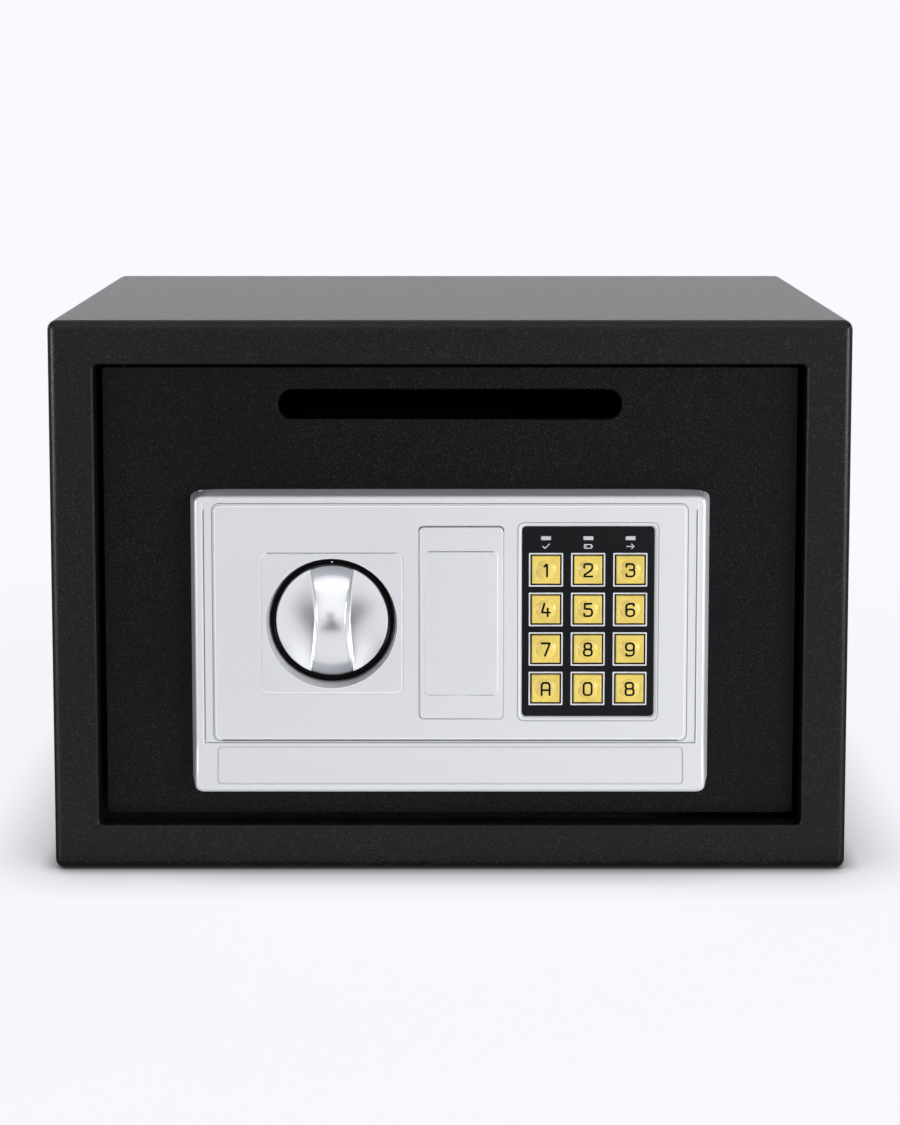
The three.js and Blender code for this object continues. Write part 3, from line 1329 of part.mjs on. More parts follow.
piece('body_shell', bodyShell(), paint, cabinet);
piece('back_panel', backPanel(), paint, cabinet);
piece('floor_mat', floorMat(), carpet, cabinet);
piece('bolt_keeper', boltKeeper(), zinc, cabinet);
piece('hinge_bracket_upper', hingeBracket(1), paint, cabinet);
piece('hinge_bracket_lower', hingeBracket(-1), paint, cabinet);

piece('door_plate', doorPlate(), paint, door);
piece('hinge_ear_upper', hingeEar(1), paint, door);
piece('hinge_ear_lower', hingeEar(-1), paint, door);
piece('hinge_pin_upper', hingePin(1), steel, door);
piece('hinge_pin_lower', hingePin(-1), steel, door);
piece('deposit_chute', depositChute(), paint, door);

piece('panel_housing', panelHousing(), silver, door);
piece('knob_ring', knobRing(), black, door);
piece('knob', knob(), knobSilver, door);
piece('knob_spindle', knobSpindle(), steel, door);
piece('drive_disc', driveDisc(), steel, door);
piece('key_cover', keyCover(), silver, door);
piece('override_barrel', overrideBarrel(), brass, door);
piece('override_plug', overridePlug(), brass, door);
piece('override_arm', overrideArm(), steel, door);

const keypad = new THREE.Group();
door.add(keypad);
piece('keypad_plate', keypadPlate(), black, keypad);
piece('circuit_board', circuitBoard(), boardGreen, keypad);
const legends = ['1', '2', '3', '4', '5', '6', '7', '8', '9', 'a', '0', 'b'];
keyPlaces().forEach(({ x, z }, i) => {
  piece(`key_${legends[i]}`, keyCap(), gold, keypad).position.set(x, 0, z);
});
lightPlaces().forEach(({ x, z }, i) => {
  piece(`indicator_${i + 1}`, indicatorLight(), lamp, keypad).position.set(x, 0, z);
});

piece('bolt_carriage', boltCarriage(), zinc, door);
piece('bolt_lower', lockBolt(BOLT_ZS[0]), steel, door);
piece('bolt_upper', lockBolt(BOLT_ZS[1]), steel, door);
piece('bolt_guide', boltGuide(), zinc, door);
studPlaces().forEach(({ x, z }, i) => piece(`guide_stud_${i + 1}`, guideStud(x, z), steel, door));
piece('solenoid_yoke', solenoidYoke(), zinc, door);
piece('solenoid_coil', solenoidCoil(), copper, door);
piece('solenoid_plunger', solenoidPlunger(), steel, door);

piece('lock_case', lockCase(), greyPlastic, door);
piece('battery_tray', batteryTray(), greyPlastic, door);
for (let i = 0; i < CELL_COUNT; i += 1) piece(`battery_cell_${i + 1}`, batteryCell(i), cellSleeve, door);
piece('battery_cover', batteryCover(), greyPlastic, door);
piece('reset_button', resetButton(), red, door);

export default safe;
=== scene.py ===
import json
import math

import bmesh
import bpy
from mathutils import Matrix, Vector
from mathutils.bvhtree import BVHTree


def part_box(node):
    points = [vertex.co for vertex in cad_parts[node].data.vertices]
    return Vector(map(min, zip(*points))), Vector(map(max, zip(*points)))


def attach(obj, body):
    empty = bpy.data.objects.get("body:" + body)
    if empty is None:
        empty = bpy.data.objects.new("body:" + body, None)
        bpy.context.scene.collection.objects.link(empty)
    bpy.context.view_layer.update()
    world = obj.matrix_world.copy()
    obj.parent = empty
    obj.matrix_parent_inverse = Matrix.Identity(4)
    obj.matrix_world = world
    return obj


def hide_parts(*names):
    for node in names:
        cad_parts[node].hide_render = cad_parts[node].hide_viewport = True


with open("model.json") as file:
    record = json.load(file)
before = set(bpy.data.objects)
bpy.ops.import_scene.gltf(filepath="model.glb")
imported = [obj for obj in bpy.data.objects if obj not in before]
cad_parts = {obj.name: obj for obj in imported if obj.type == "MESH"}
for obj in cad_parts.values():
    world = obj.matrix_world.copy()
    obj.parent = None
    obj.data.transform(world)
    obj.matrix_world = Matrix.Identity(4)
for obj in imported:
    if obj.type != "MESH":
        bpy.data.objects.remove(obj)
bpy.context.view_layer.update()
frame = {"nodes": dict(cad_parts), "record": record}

# Units and the camera, which stands where the photograph's does and looks down a little more
MM = 0.001
CAMERA_AHEAD = 1138 * MM
CAMERA_HEIGHT = 352 * MM
CAMERA_PITCH = math.radians(6.15)
CAMERA_LENS = 84.5
CAMERA_SHIFT = -0.185
CAMERA_CLIP = 100

# Lamps: a wide one ahead and to the right, and strips above and on both sides for the rounded edges
FRONT_LAMP = dict(at=(1.5, -2.3, 0.5), size=(1.0, 0.5), power=41.0)
TOP_STRIP = dict(at=(0, -1.1, 1.45), size=(2.4, 0.12), power=3.5)
SIDE_STRIP = dict(at=(1.3, -0.95, 0.12), size=(0.35, 0.5), power=18.0)
LAMP_TARGET = (0, -0.12, 0.12)
BACKGROUND = (0.947, 0.955, 0.985)

# The studio's brightness by heading: as matt surfaces meet it, and as shiny ones mirror it
MATT_AHEAD = 0.38
MATT_ABOVE = 0.05
MATT_BEHIND = 0.35
MIRROR_AHEAD = 1.3
MIRROR_ABOVE = 1.05
MIRROR_BEHIND = 0.3
MIRROR_SIDE = 0.5
HORIZON = 1.6

# Between which headings, as parts of a unit vector, one part of the studio gives way to the next
BEHIND_SPAN = (-0.35, 0.25)
SIDE_SPAN = (0.25, 0.62)
ABOVE_SPAN = (0.62, 0.9)
HORIZON_SPAN = (0.16, 0.34)
HORIZON_BEHIND_SPAN = (0.15, 0.6)

# The camera's stand, which shiny surfaces mirror as a dark shape
STAND_X = -0.07
STAND_SIDE_SPAN = (0.04, 0.12)
STAND_TOP_SPAN = (0.06, 0.2)
STAND_AHEAD_SPAN = (-0.6, -0.3)

# The floor: its glow, where it runs out into the background, and the shadow under the safe
FLOOR_REACH = 8.0
FLOOR_DROP = 0.2 * MM
FLOOR_COLOUR = (0.9, 0.905, 0.93)
FLOOR_MATT = 0.2
FLOOR_ROUGHNESS = 0.8
FLOOR_FADE_SPAN = (0.35, 0.8)
FLOOR_GLOW = 0.915
FLOOR_BOUNCE = 0.7
FLOOR_SHADE_REACH = 45 * MM
FLOOR_CONTACT_REACH = 9 * MM
FLOOR_SHADE_SAMPLES = 16

# The floor as shiny surfaces mirror it: far ahead of the safe, near it, and beside or behind it
FLOOR_MIRROR_FAR = 0.85
FLOOR_MIRROR_NEAR = 0.95
FLOOR_MIRROR_BESIDE = 0.12
FLOOR_MIRROR_SPAN = (-1.0, -0.42)
FLOOR_BESIDE_SPAN = (-0.15, -0.125)
FLOOR_STAND_SIDE_SPAN = (0.06, 0.15)
FLOOR_STAND_AHEAD_SPAN = (-0.5, -0.36)


# Node trees
class Nodes:
    """Short ways to add nodes to a tree and join them"""

    def __init__(self, tree):
        self.tree = tree

    def add(self, kind, **settings):
        node = self.tree.nodes.new(kind)
        for key, value in settings.items():
            setattr(node, key, value)
        return node

    def feed(self, socket, value):
        if isinstance(value, bpy.types.NodeSocket):
            self.tree.links.new(value, socket)
        else:
            socket.default_value = value

    def place(self):
        return self.add("ShaderNodeTexCoord").outputs["Object"]

    def stretched(self, vector, scale):
        node = self.add("ShaderNodeMapping")
        self.feed(node.inputs["Vector"], vector)
        node.inputs["Scale"].default_value = scale
        return node.outputs["Vector"]

    def noise(self, vector, size, detail=2.0, roughness=0.5):
        """A noise whose grains are about size metres"""
        node = self.add("ShaderNodeTexNoise")
        self.feed(node.inputs["Vector"], vector)
        node.inputs["Scale"].default_value = 1 / size
        node.inputs["Detail"].default_value = detail
        node.inputs["Roughness"].default_value = roughness
        return node.outputs["Fac"]

    def math(self, operation, a, b=0.0, c=0.0):
        node = self.add("ShaderNodeMath", operation=operation)
        self.feed(node.inputs[0], a)
        self.feed(node.inputs[1], b)
        self.feed(node.inputs[2], c)
        return node.outputs[0]

    def blend(self, share, a, b):
        """The number a where share is 0, and b where it is 1"""
        return self.math("ADD", a, self.math("MULTIPLY", share, self.math("SUBTRACT", b, a)))

    def span(self, value, low, high, to_low=0.0, to_high=1.0):
        """value from low to high, mapped to to_low to to_high, and held beyond them"""
        node = self.add("ShaderNodeMapRange", interpolation_type="SMOOTHSTEP")
        self.feed(node.inputs["Value"], value)
        node.inputs["From Min"].default_value = low
        node.inputs["From Max"].default_value = high
        node.inputs["To Min"].default_value = to_low
        node.inputs["To Max"].default_value = to_high
        return node.outputs["Result"]

    def mix(self, factor, a, b):
        """The colour a where factor is 0, and b where it is 1"""
        node = self.add("ShaderNodeMix", data_type="RGBA")
        self.feed(node.inputs[0], factor)
        for socket, value in ((node.inputs[6], a), (node.inputs[7], b)):
            self.feed(socket, (*value, 1.0) if isinstance(value, tuple) else value)
        return node.outputs[2]

    def bump(self, height, distance):
        node = self.add("ShaderNodeBump")
        node.inputs["Distance"].default_value = distance
        self.feed(node.inputs["Height"], height)
        return node.outputs["Normal"]

    def pale(self, node, strength=1.0):
        """The output of a light's node, set to the background's colour"""
        node.inputs["Color"].default_value = (*BACKGROUND, 1)
        self.feed(node.inputs["Strength"], strength)
        return node.outputs[0]

    def choose(self, factor, a, b, output):
        """Gives a tree's output node shader a where factor is 0, and b where it is 1"""
        node = self.add("ShaderNodeMixShader")
        for socket, value in zip(node.inputs, (factor, a, b)):
            self.feed(socket, value)
        self.feed(self.tree.nodes[output].inputs["Surface"], node.outputs[0])


def shade(colour, factor):
    return tuple(channel * factor for channel in colour)


# Finishes: the sizes and depths of their grains, and the values of a noise between which it fades in
LACQUER_ROUGHNESS = 0.08
COAT_ROUGHNESS = 0.34
COAT_PIMPLE = 0.6 * MM
COAT_PIMPLE_DEPTH = 0.085 * MM
COAT_GRAIN = 0.62 * MM
COAT_GRAIN_SHADE = 8
COAT_CLOUD = 60 * MM
PAINT_SPECULAR = 0.45
PAINT_FLAKE = 0.5 * MM
PAINT_FLAKE_DEPTH = 0.006 * MM
PAINT_CLOUD = 45 * MM
PLASTIC_GRAIN = 0.35 * MM
PLASTIC_GRAIN_DEPTH = 0.004 * MM
PLASTIC_CLOUD = 9 * MM
PLASTIC_CLOUD_SHADE = 0.88
BRUSH_LINE = 0.35 * MM
BRUSH_LINE_DEPTH = 0.01 * MM
BRUSH_SQUEEZE = (0.03, 1.0, 1.0)
BRUSH_PATCH = 14 * MM
ZINC_CRYSTAL = 5 * MM
ZINC_GRAIN = 0.6 * MM
ZINC_GRAIN_DEPTH = 0.01 * MM
SPARK_GRAIN = 0.7 * MM
SPARK_GRAIN_DEPTH = 0.06 * MM
FELT_FIBRE = 0.8 * MM
FELT_FIBRE_DEPTH = 0.5 * MM
FELT_MOTTLE = 12 * MM
FELT_SHEEN = 0.15
WIRE_TURN = 0.9 * MM
WIRE_TURN_DEPTH = 0.08 * MM
WIRE_DISTORTION = 0.4
BOARD_TRACKS = 90
BOARD_TRACK_W = 0.03
BOARD_TRACK_DEPTH = 0.03 * MM
CELL_GRAIN = 0.6 * MM
CELL_GRAIN_DEPTH = 0.01 * MM
CELL_BARE_SPAN = (23.6 * MM, 24.0 * MM)
CELL_BAND_SPAN = (9 * MM, 9.4 * MM)
CELL_BARE_COLOUR = (0.6, 0.6, 0.6)
SPECKS = (0.55, 0.68)
PATCHES = (0.35, 0.7)
SWELLS = (0.3, 0.7)


class Finish(Nodes):
    """A material, and ways to feed its shader"""

    def __init__(self, name, colour, roughness, metallic=0.0, specular=0.5, coat=0.0):
        self.material = bpy.data.materials.new(name)
        self.material.use_nodes = True
        self.material.diffuse_color = (*colour, 1.0)
        super().__init__(self.material.node_tree)
        self.shader = self.tree.nodes["Principled BSDF"]
        for socket, value in (
            ("Base Color", (*colour, 1.0)), ("Roughness", roughness), ("Metallic", metallic),
            ("Specular IOR Level", specular), ("Coat Weight", coat), ("Coat Roughness", LACQUER_ROUGHNESS),
        ):
            self.put(socket, value)

    def put(self, socket, value):
        self.feed(self.shader.inputs[socket], value)

    def finished(self, tint, height, depth, rough=None):
        """The material, with a colour, a relief that is depth metres deep, and a roughness if it varies"""
        self.put("Base Color", tint)
        if rough is not None:
            self.put("Roughness", rough)
        self.put("Normal", self.bump(height, depth))
        return self.material


def powder_coat(name, colour, grain, specular):
    """Fine-textured powder coat: pimples under a millimetre, a faint unevenness, and paler grains"""
    nodes = Finish(name, colour, COAT_ROUGHNESS, 0.0, specular)
    place = nodes.place()
    pimples = nodes.noise(place, COAT_PIMPLE)
    grains = nodes.noise(place, COAT_GRAIN)
    cloud = nodes.noise(place, COAT_CLOUD)
    speck = nodes.span(grains, *SPECKS)
    tint = nodes.mix(nodes.math("MULTIPLY", speck, grain), colour, shade(colour, COAT_GRAIN_SHADE))
    worn = nodes.mix(nodes.span(cloud, *PATCHES, 0.0, 0.3), tint, shade(colour, 0.75))
    rough = nodes.span(grains, *SWELLS, COAT_ROUGHNESS - 0.03, COAT_ROUGHNESS + 0.05)
    return nodes.finished(worn, pimples, COAT_PIMPLE_DEPTH, rough)


def painted_plastic(name, colour, roughness, flake, metallic=0.0):
    """Silver paint on a smooth moulding: fine flake and a very slow unevenness"""
    nodes = Finish(name, colour, roughness, metallic, PAINT_SPECULAR)
    place = nodes.place()
    grain = nodes.noise(place, PAINT_FLAKE)
    cloud = nodes.noise(place, PAINT_CLOUD)
    tint = nodes.mix(nodes.span(grain, *PATCHES, 0.0, flake), colour, shade(colour, 0.86))
    wide = nodes.mix(nodes.span(cloud, *PATCHES, 0.0, 0.5), tint, shade(colour, 0.965))
    rough = nodes.span(cloud, *SWELLS, roughness - 0.03, roughness + 0.04)
    return nodes.finished(wide, grain, PAINT_FLAKE_DEPTH, rough)


def smooth_plastic(name, colour, roughness, specular=0.5, coat=0.0):
    """A moulded plastic with slight unevenness in colour and gloss"""
    nodes = Finish(name, colour, roughness, 0.0, specular, coat)
    place = nodes.place()
    grain = nodes.noise(place, PLASTIC_GRAIN)
    cloud = nodes.noise(place, PLASTIC_CLOUD)
    tint = nodes.mix(nodes.span(cloud, *SWELLS), colour, shade(colour, PLASTIC_CLOUD_SHADE))
    rough = nodes.span(cloud, *SWELLS, roughness * 0.9, roughness * 1.12)
    return nodes.finished(tint, grain, PLASTIC_GRAIN_DEPTH, rough)


def brushed_metal(name, colour, roughness):
    """Metal with fine lines along x and dull patches"""
    nodes = Finish(name, colour, roughness, 1.0)
    place = nodes.place()
    lines = nodes.noise(nodes.stretched(place, BRUSH_SQUEEZE), BRUSH_LINE, 3.0)
    dull = nodes.noise(place, BRUSH_PATCH, 3.0)
    tint = nodes.mix(nodes.span(dull, *PATCHES), colour, shade(colour, 0.8))
    rough = nodes.span(dull, *SWELLS, roughness * 0.8, roughness * 1.3)
    return nodes.finished(tint, lines, BRUSH_LINE_DEPTH, rough)


def spangled_zinc(name, colour):
    """Zinc-plated sheet with a faint crystal pattern"""
    nodes = Finish(name, colour, 0.36, 1.0)
    place = nodes.place()
    crystals = nodes.add("ShaderNodeTexVoronoi")
    nodes.feed(crystals.inputs["Vector"], place)
    crystals.inputs["Scale"].default_value = 1 / ZINC_CRYSTAL
    tone = nodes.add("ShaderNodeRGBToBW")
    nodes.feed(tone.inputs["Color"], crystals.outputs["Color"])
    fine = nodes.noise(place, ZINC_GRAIN)
    tint = nodes.mix(tone.outputs["Val"], colour, shade(colour, 0.78))
    rough = nodes.span(tone.outputs["Val"], 0.2, 0.8, 0.3, 0.45)
    return nodes.finished(tint, fine, ZINC_GRAIN_DEPTH, rough)


def spark_plastic(name, colour):
    """Dark plastic with a spark-eroded mould texture"""
    nodes = Finish(name, colour, 0.55, 0.0, 0.4)
    grain = nodes.noise(nodes.place(), SPARK_GRAIN, 3.0, 0.6)
    tint = nodes.mix(nodes.span(grain, 0.4, 0.7), colour, shade(colour, 1.35))
    return nodes.finished(tint, grain, SPARK_GRAIN_DEPTH)


def felt(name, colour):
    """Needle felt: tangled fibres and a slow mottling"""
    nodes = Finish(name, colour, 0.95, 0.0, 0.2)
    place = nodes.place()
    fibres = nodes.noise(place, FELT_FIBRE, 4.0, 0.7)
    mottle = nodes.noise(place, FELT_MOTTLE, 3.0)
    tone = nodes.mix(nodes.span(fibres, *PATCHES), shade(colour, 0.6), shade(colour, 1.5))
    tint = nodes.mix(nodes.span(mottle, *SWELLS, 0.0, 0.4), tone, colour)
    nodes.put("Sheen Weight", FELT_SHEEN)
    return nodes.finished(tint, fibres, FELT_FIBRE_DEPTH)


def wound_wire(name, colour):
    """Enamelled wire wound in fine level turns, with painted shade in the grooves between them"""
    nodes = Finish(name, colour, 0.3, 0.6, 0.5, 0.3)
    turns = nodes.add("ShaderNodeTexWave", bands_direction="Z")
    nodes.feed(turns.inputs["Vector"], nodes.place())
    turns.inputs["Scale"].default_value = 1 / WIRE_TURN
    turns.inputs["Distortion"].default_value = WIRE_DISTORTION
    # Painted shade: the colour darkens in the grooves between the turns, with the same wave as the relief
    tint = nodes.mix(turns.outputs["Fac"], shade(colour, 0.45), colour)
    return nodes.finished(tint, turns.outputs["Fac"], WIRE_TURN_DEPTH)


def solder_mask(name, colour):
    """Green board with paler copper tracks under the lacquer"""
    nodes = Finish(name, colour, 0.25, 0.0, 0.5)
    tracks = nodes.add("ShaderNodeTexBrick")
    nodes.feed(tracks.inputs["Vector"], nodes.place())
    tracks.inputs["Scale"].default_value = BOARD_TRACKS
    tracks.inputs["Mortar Size"].default_value = BOARD_TRACK_W
    tint = nodes.mix(tracks.outputs["Fac"], colour, shade(colour, 2.2))
    return nodes.finished(tint, tracks.outputs["Fac"], BOARD_TRACK_DEPTH)


def cell_sleeve(name, colour):
    """A battery's shrunk sleeve with bare metal at both ends"""
    nodes = Finish(name, colour, 0.28, 0.0, 0.5, 0.3)
    low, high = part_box("battery_cell_1")
    middle = (low.z + high.z) / 2
    height = nodes.add("ShaderNodeSeparateXYZ")
    nodes.feed(height.inputs[0], nodes.place())
    off = nodes.math("ABSOLUTE", nodes.math("SUBTRACT", height.outputs["Z"], middle))
    bare = nodes.span(off, *CELL_BARE_SPAN)
    grain = nodes.noise(nodes.place(), CELL_GRAIN)
    band = nodes.span(off, *CELL_BAND_SPAN)
    sleeve = nodes.mix(band, shade(colour, 2.4), colour)
    nodes.put("Metallic", bare)
    return nodes.finished(nodes.mix(bare, sleeve, CELL_BARE_COLOUR), grain, CELL_GRAIN_DEPTH)


MATERIALS = {
    "body_paint": powder_coat("body_powder_coat", (0.0034, 0.0035, 0.004), 0.8, 0.21),
    "door_paint": powder_coat("door_powder_coat", (0.0036, 0.0037, 0.0041), 0.8, 0.11),
    "panel_silver": painted_plastic("panel_silver_paint", (0.775, 0.783, 0.82), 0.36, 0.35, 0.12),
    "knob_silver": painted_plastic("knob_satin_metal", (0.8, 0.805, 0.83), 0.21, 0.2, 0.9),
    "black_gloss": smooth_plastic("ring_gloss_black", (0.0012, 0.0012, 0.0014), 0.22, 0.06),
    "keypad_black": smooth_plastic("keypad_film", (0.0052, 0.0055, 0.0072), 0.42, 0.13),
    "key_gold": smooth_plastic("key_gold_paint", (0.9, 0.685, 0.14), 0.3, 0.6),
    "indicator": smooth_plastic("indicator_window", (0.62, 0.63, 0.65), 0.3),
    "steel": brushed_metal("turned_steel", (0.56, 0.57, 0.58), 0.25),
    "zinc": spangled_zinc("zinc_sheet", (0.6, 0.59, 0.52)),
    "brass": brushed_metal("satin_brass", (0.68, 0.49, 0.2), 0.28),
    "coil": wound_wire("coil_wire", (0.5, 0.2, 0.06)),
    "board": solder_mask("board_green", (0.012, 0.1, 0.045)),
    "case_plastic": spark_plastic("case_spark_plastic", (0.022, 0.0225, 0.025)),
    "cell": cell_sleeve("cell_sleeve", (0.024, 0.068, 0.2)),
    "button_red": smooth_plastic("button_red", (0.36, 0.012, 0.01), 0.35),
    "carpet": felt("needle_felt", (0.016, 0.016, 0.0175)),
    "ink_black": smooth_plastic("legend_ink", (0.003, 0.003, 0.003), 0.5, 0.1),
    "ink_pale": smooth_plastic("pale_print", (0.8, 0.81, 0.83), 0.45),
    # Painted highlights and painted shade: the white strips stand in for light caught on the panel's and the
    # cover's fine edges, and the grey, mid-grey and dark strips for shade in their steps and seams
    "painted_highlight": painted_plastic("painted_highlight_strip", (0.98, 0.98, 0.99), 0.3, 0.03),
    "painted_shade_grey": painted_plastic("painted_shade_strip", (0.21, 0.214, 0.23), 0.4, 0.1),
    "painted_faint_shade": painted_plastic("painted_faint_shade_strip", (0.5, 0.505, 0.53), 0.4, 0.1),
    "painted_dark_shade": painted_plastic("painted_dark_shade_strip", (0.045, 0.046, 0.05), 0.4, 0.1),
    "black_paint": powder_coat("chute_black", (0.0006, 0.0006, 0.0006), 0.2, 0.02),
}
SLOTS = {row["node"]: row["material_slot"] for row in frame["record"]["subparts"]}
BODIES = {node: body for body, nodes in frame["record"]["behaviour"]["bodies"].items() for node in nodes}
OTHER_FINISH = {node: "black_paint" for node in (
    "deposit_chute", "hinge_pin_upper", "hinge_pin_lower", "hinge_ear_upper", "hinge_ear_lower",
    "hinge_bracket_upper", "hinge_bracket_lower", "bolt_keeper",
)}


# Pieces
WELD = 2e-6
FLAT_TURN = math.radians(0.4)
SHARP_TURN = math.radians(32)
BEVEL_TURN = math.radians(30)
BEVEL_SEGMENTS = 2
BEVEL_FLAT_WEIGHT = 80


def middle_of(node):
    low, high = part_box(node)
    return (low + high) / 2


def add_piece(name, mesh, body, slot, material=None, stands_for=()):
    piece = bpy.data.objects.new(name, mesh)
    bpy.context.scene.collection.objects.link(piece)
    mesh.materials.clear()
    mesh.materials.append(MATERIALS[material or slot])
    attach(piece, body)
    if stands_for:
        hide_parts(*stands_for)
    return piece


def mesh_of(bm, name, sharp=60.0, weld=5e-7):
    """A bmesh made a mesh: smooth but for turns of sharp degrees, with points closer than weld joined"""
    if weld:
        bmesh.ops.remove_doubles(bm, verts=bm.verts, dist=weld)
    mesh = bpy.data.meshes.new(name)
    bm.to_mesh(mesh)
    bm.free()
    mesh.polygons.foreach_set("use_smooth", [True] * len(mesh.polygons))
    if sharp:
        mesh.set_sharp_from_angle(angle=math.radians(sharp))
    return mesh


def close_back(bm, rim, back):
    """Closes a front: a wall from its rim to y back, and a face there"""
    foot = [bm.verts.new((vert.co.x, back, vert.co.z)) for vert in rim]
    for i, vert in enumerate(rim):
        after = (i + 1) % len(rim)
        bm.faces.new((rim[after], vert, foot[i], foot[after]))
    bm.faces.new(foot)
    bmesh.ops.recalc_face_normals(bm, faces=bm.faces)


def soften(piece, width):
    """Rounds the sharp edges of a piece by width metres, and keeps its flats flat"""
    bevel = piece.modifiers.new("soft edges", "BEVEL")
    bevel.width = width
    bevel.segments = BEVEL_SEGMENTS
    bevel.limit_method = "ANGLE"
    bevel.angle_limit = BEVEL_TURN
    normals = piece.modifiers.new("flat faces", "WEIGHTED_NORMAL")
    normals.keep_sharp = True
    normals.weight = BEVEL_FLAT_WEIGHT


def welded(source):
    """A mesh with a node's shape, its corners joined and its flat faces made whole"""
    bm = bmesh.new()
    bm.from_mesh(source)
    bmesh.ops.remove_doubles(bm, verts=bm.verts, dist=WELD)
    bmesh.ops.dissolve_limit(bm, angle_limit=FLAT_TURN, verts=bm.verts, edges=bm.edges)
    bmesh.ops.recalc_face_normals(bm, faces=bm.faces)
    bm.verts.index_update()
    points = [tuple(v.co) for v in bm.verts]
    faces = [[v.index for v in face.verts] for face in bm.faces]
    bm.free()
    mesh = bpy.data.meshes.new("welded")
    mesh.from_pydata(points, [], faces)
    mesh.polygons.foreach_set("use_smooth", [True] * len(faces))
    mesh.set_sharp_from_angle(angle=SHARP_TURN)
    return mesh


SHOULDER_FROM = 97 * MM
SHOULDER_TO = 111.1 * MM
SHOULDER_RISE = 0.9 * MM
SHOULDER_SLACK = 0.1 * MM
SHOULDER_CUTS = 10


def ease_shoulders(mesh):
    """Lets the panel's long edges at its top and foot curve down to its corners"""
    low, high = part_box("panel_housing")
    middle = (low.z + high.z) / 2
    level = high.z - middle - SHOULDER_RISE
    bm = bmesh.new()
    bm.from_mesh(mesh)
    for side in (-1, 1):
        for cut in range(SHOULDER_CUTS):
            x = SHOULDER_FROM + (SHOULDER_TO - SHOULDER_FROM) * math.sin(cut / SHOULDER_CUTS * math.pi / 2)
            faces = [face for face in bm.faces
                     if max(abs(vert.co.z - middle) for vert in face.verts) > level + SHOULDER_SLACK]
            edges = {edge for face in faces for edge in face.edges}
            verts = {vert for face in faces for vert in face.verts}
            bmesh.ops.bisect_plane(bm, geom=[*verts, *edges, *faces], plane_co=(side * x, 0, 0),
                                   plane_no=(1, 0, 0))
    for vert in bm.verts:
        rise = abs(vert.co.z - middle) - level
        share = (abs(vert.co.x) - SHOULDER_FROM) / (SHOULDER_TO - SHOULDER_FROM)
        if rise > 0 and share > 0:
            vert.co.z -= math.copysign(rise * (1 - math.sqrt(max(1 - share ** 2, 0.0))), vert.co.z - middle)
    bmesh.ops.dissolve_degenerate(bm, dist=WELD, edges=bm.edges)
    bm.to_mesh(mesh)
    bm.free()
    mesh.set_sharp_from_angle(angle=SHARP_TURN)


def dress(node, width):
    """A softened piece that stands for a node"""
    mesh = welded(frame["nodes"][node].data)
    if node == "panel_housing":
        ease_shoulders(mesh)
    piece = add_piece(node + "_fine", mesh, BODIES[node], SLOTS[node], OTHER_FINISH.get(node), [node])
    soften(piece, width)


# The width in millimetres of each node's softened edges
SOFT_EDGES = {
    "body_shell": 0.35, "back_panel": 0.3, "floor_mat": 0.5, "bolt_keeper": 0.3,
    "hinge_bracket_upper": 0.3, "hinge_bracket_lower": 0.3, "door_plate": 0.3,
    "hinge_ear_upper": 0.3, "hinge_ear_lower": 0.3, "hinge_pin_upper": 0.1, "hinge_pin_lower": 0.1,
    "deposit_chute": 0.3, "panel_housing": 0.16, "key_cover": 0.2, "keypad_plate": 0.1,
    "override_barrel": 0.15, "override_plug": 0.1, "override_arm": 0.15,
    "lock_case": 0.5, "battery_cover": 0.3, "battery_tray": 0.2, "reset_button": 0.2,
    "bolt_carriage": 0.2, "bolt_guide": 0.3, "bolt_lower": 0.2, "bolt_upper": 0.2,
    "guide_stud_1": 0.1, "guide_stud_2": 0.1, "drive_disc": 0.15, "knob_spindle": 0.1,
    "solenoid_yoke": 0.15, "solenoid_coil": 0.05, "solenoid_plunger": 0.1, "circuit_board": 0.1,
    "indicator_1": 0.1, "indicator_2": 0.1, "indicator_3": 0.1,
    "battery_cell_1": 0.1, "battery_cell_2": 0.1, "battery_cell_3": 0.1, "battery_cell_4": 0.1,
}

for node, width in SOFT_EDGES.items():
    dress(node, width * MM)


# Lines and strokes laid on a surface, in the plane of x and z
ROUND_STEPS = 6
LINE_STEP = 0.25 * MM
SAME_POINT = 1e-7
LEAST_R = 0.02 * MM


def rounded_path(points, radius, closed=False):
    """A line through points, with its corners rounded"""
    line = []
    count = len(points)
    for i, corner in enumerate(points):
        corner = Vector(corner)
        if not closed and i in (0, count - 1):
            line.append(corner)
            continue
        before = Vector(points[i - 1])
        after = Vector(points[(i + 1) % count])
        to_before = before - corner
        to_after = after - corner
        reach = min(radius, to_before.length / 2, to_after.length / 2)
        start = corner + to_before.normalized() * reach
        end = corner + to_after.normalized() * reach
        for step in range(ROUND_STEPS + 1):
            t = step / ROUND_STEPS
            line.append(start * (1 - t) ** 2 + corner * 2 * t * (1 - t) + end * t ** 2)
    if closed:
        line.append(line[0].copy())
    return line


def fine_line(line, step):
    """The same line with points no further apart than step"""
    points = [line[0]]
    for a, b in zip(line, line[1:]):
        parts = max(1, math.ceil((b - a).length / step))
        points.extend(a.lerp(b, k / parts) for k in range(1, parts + 1))
    return points


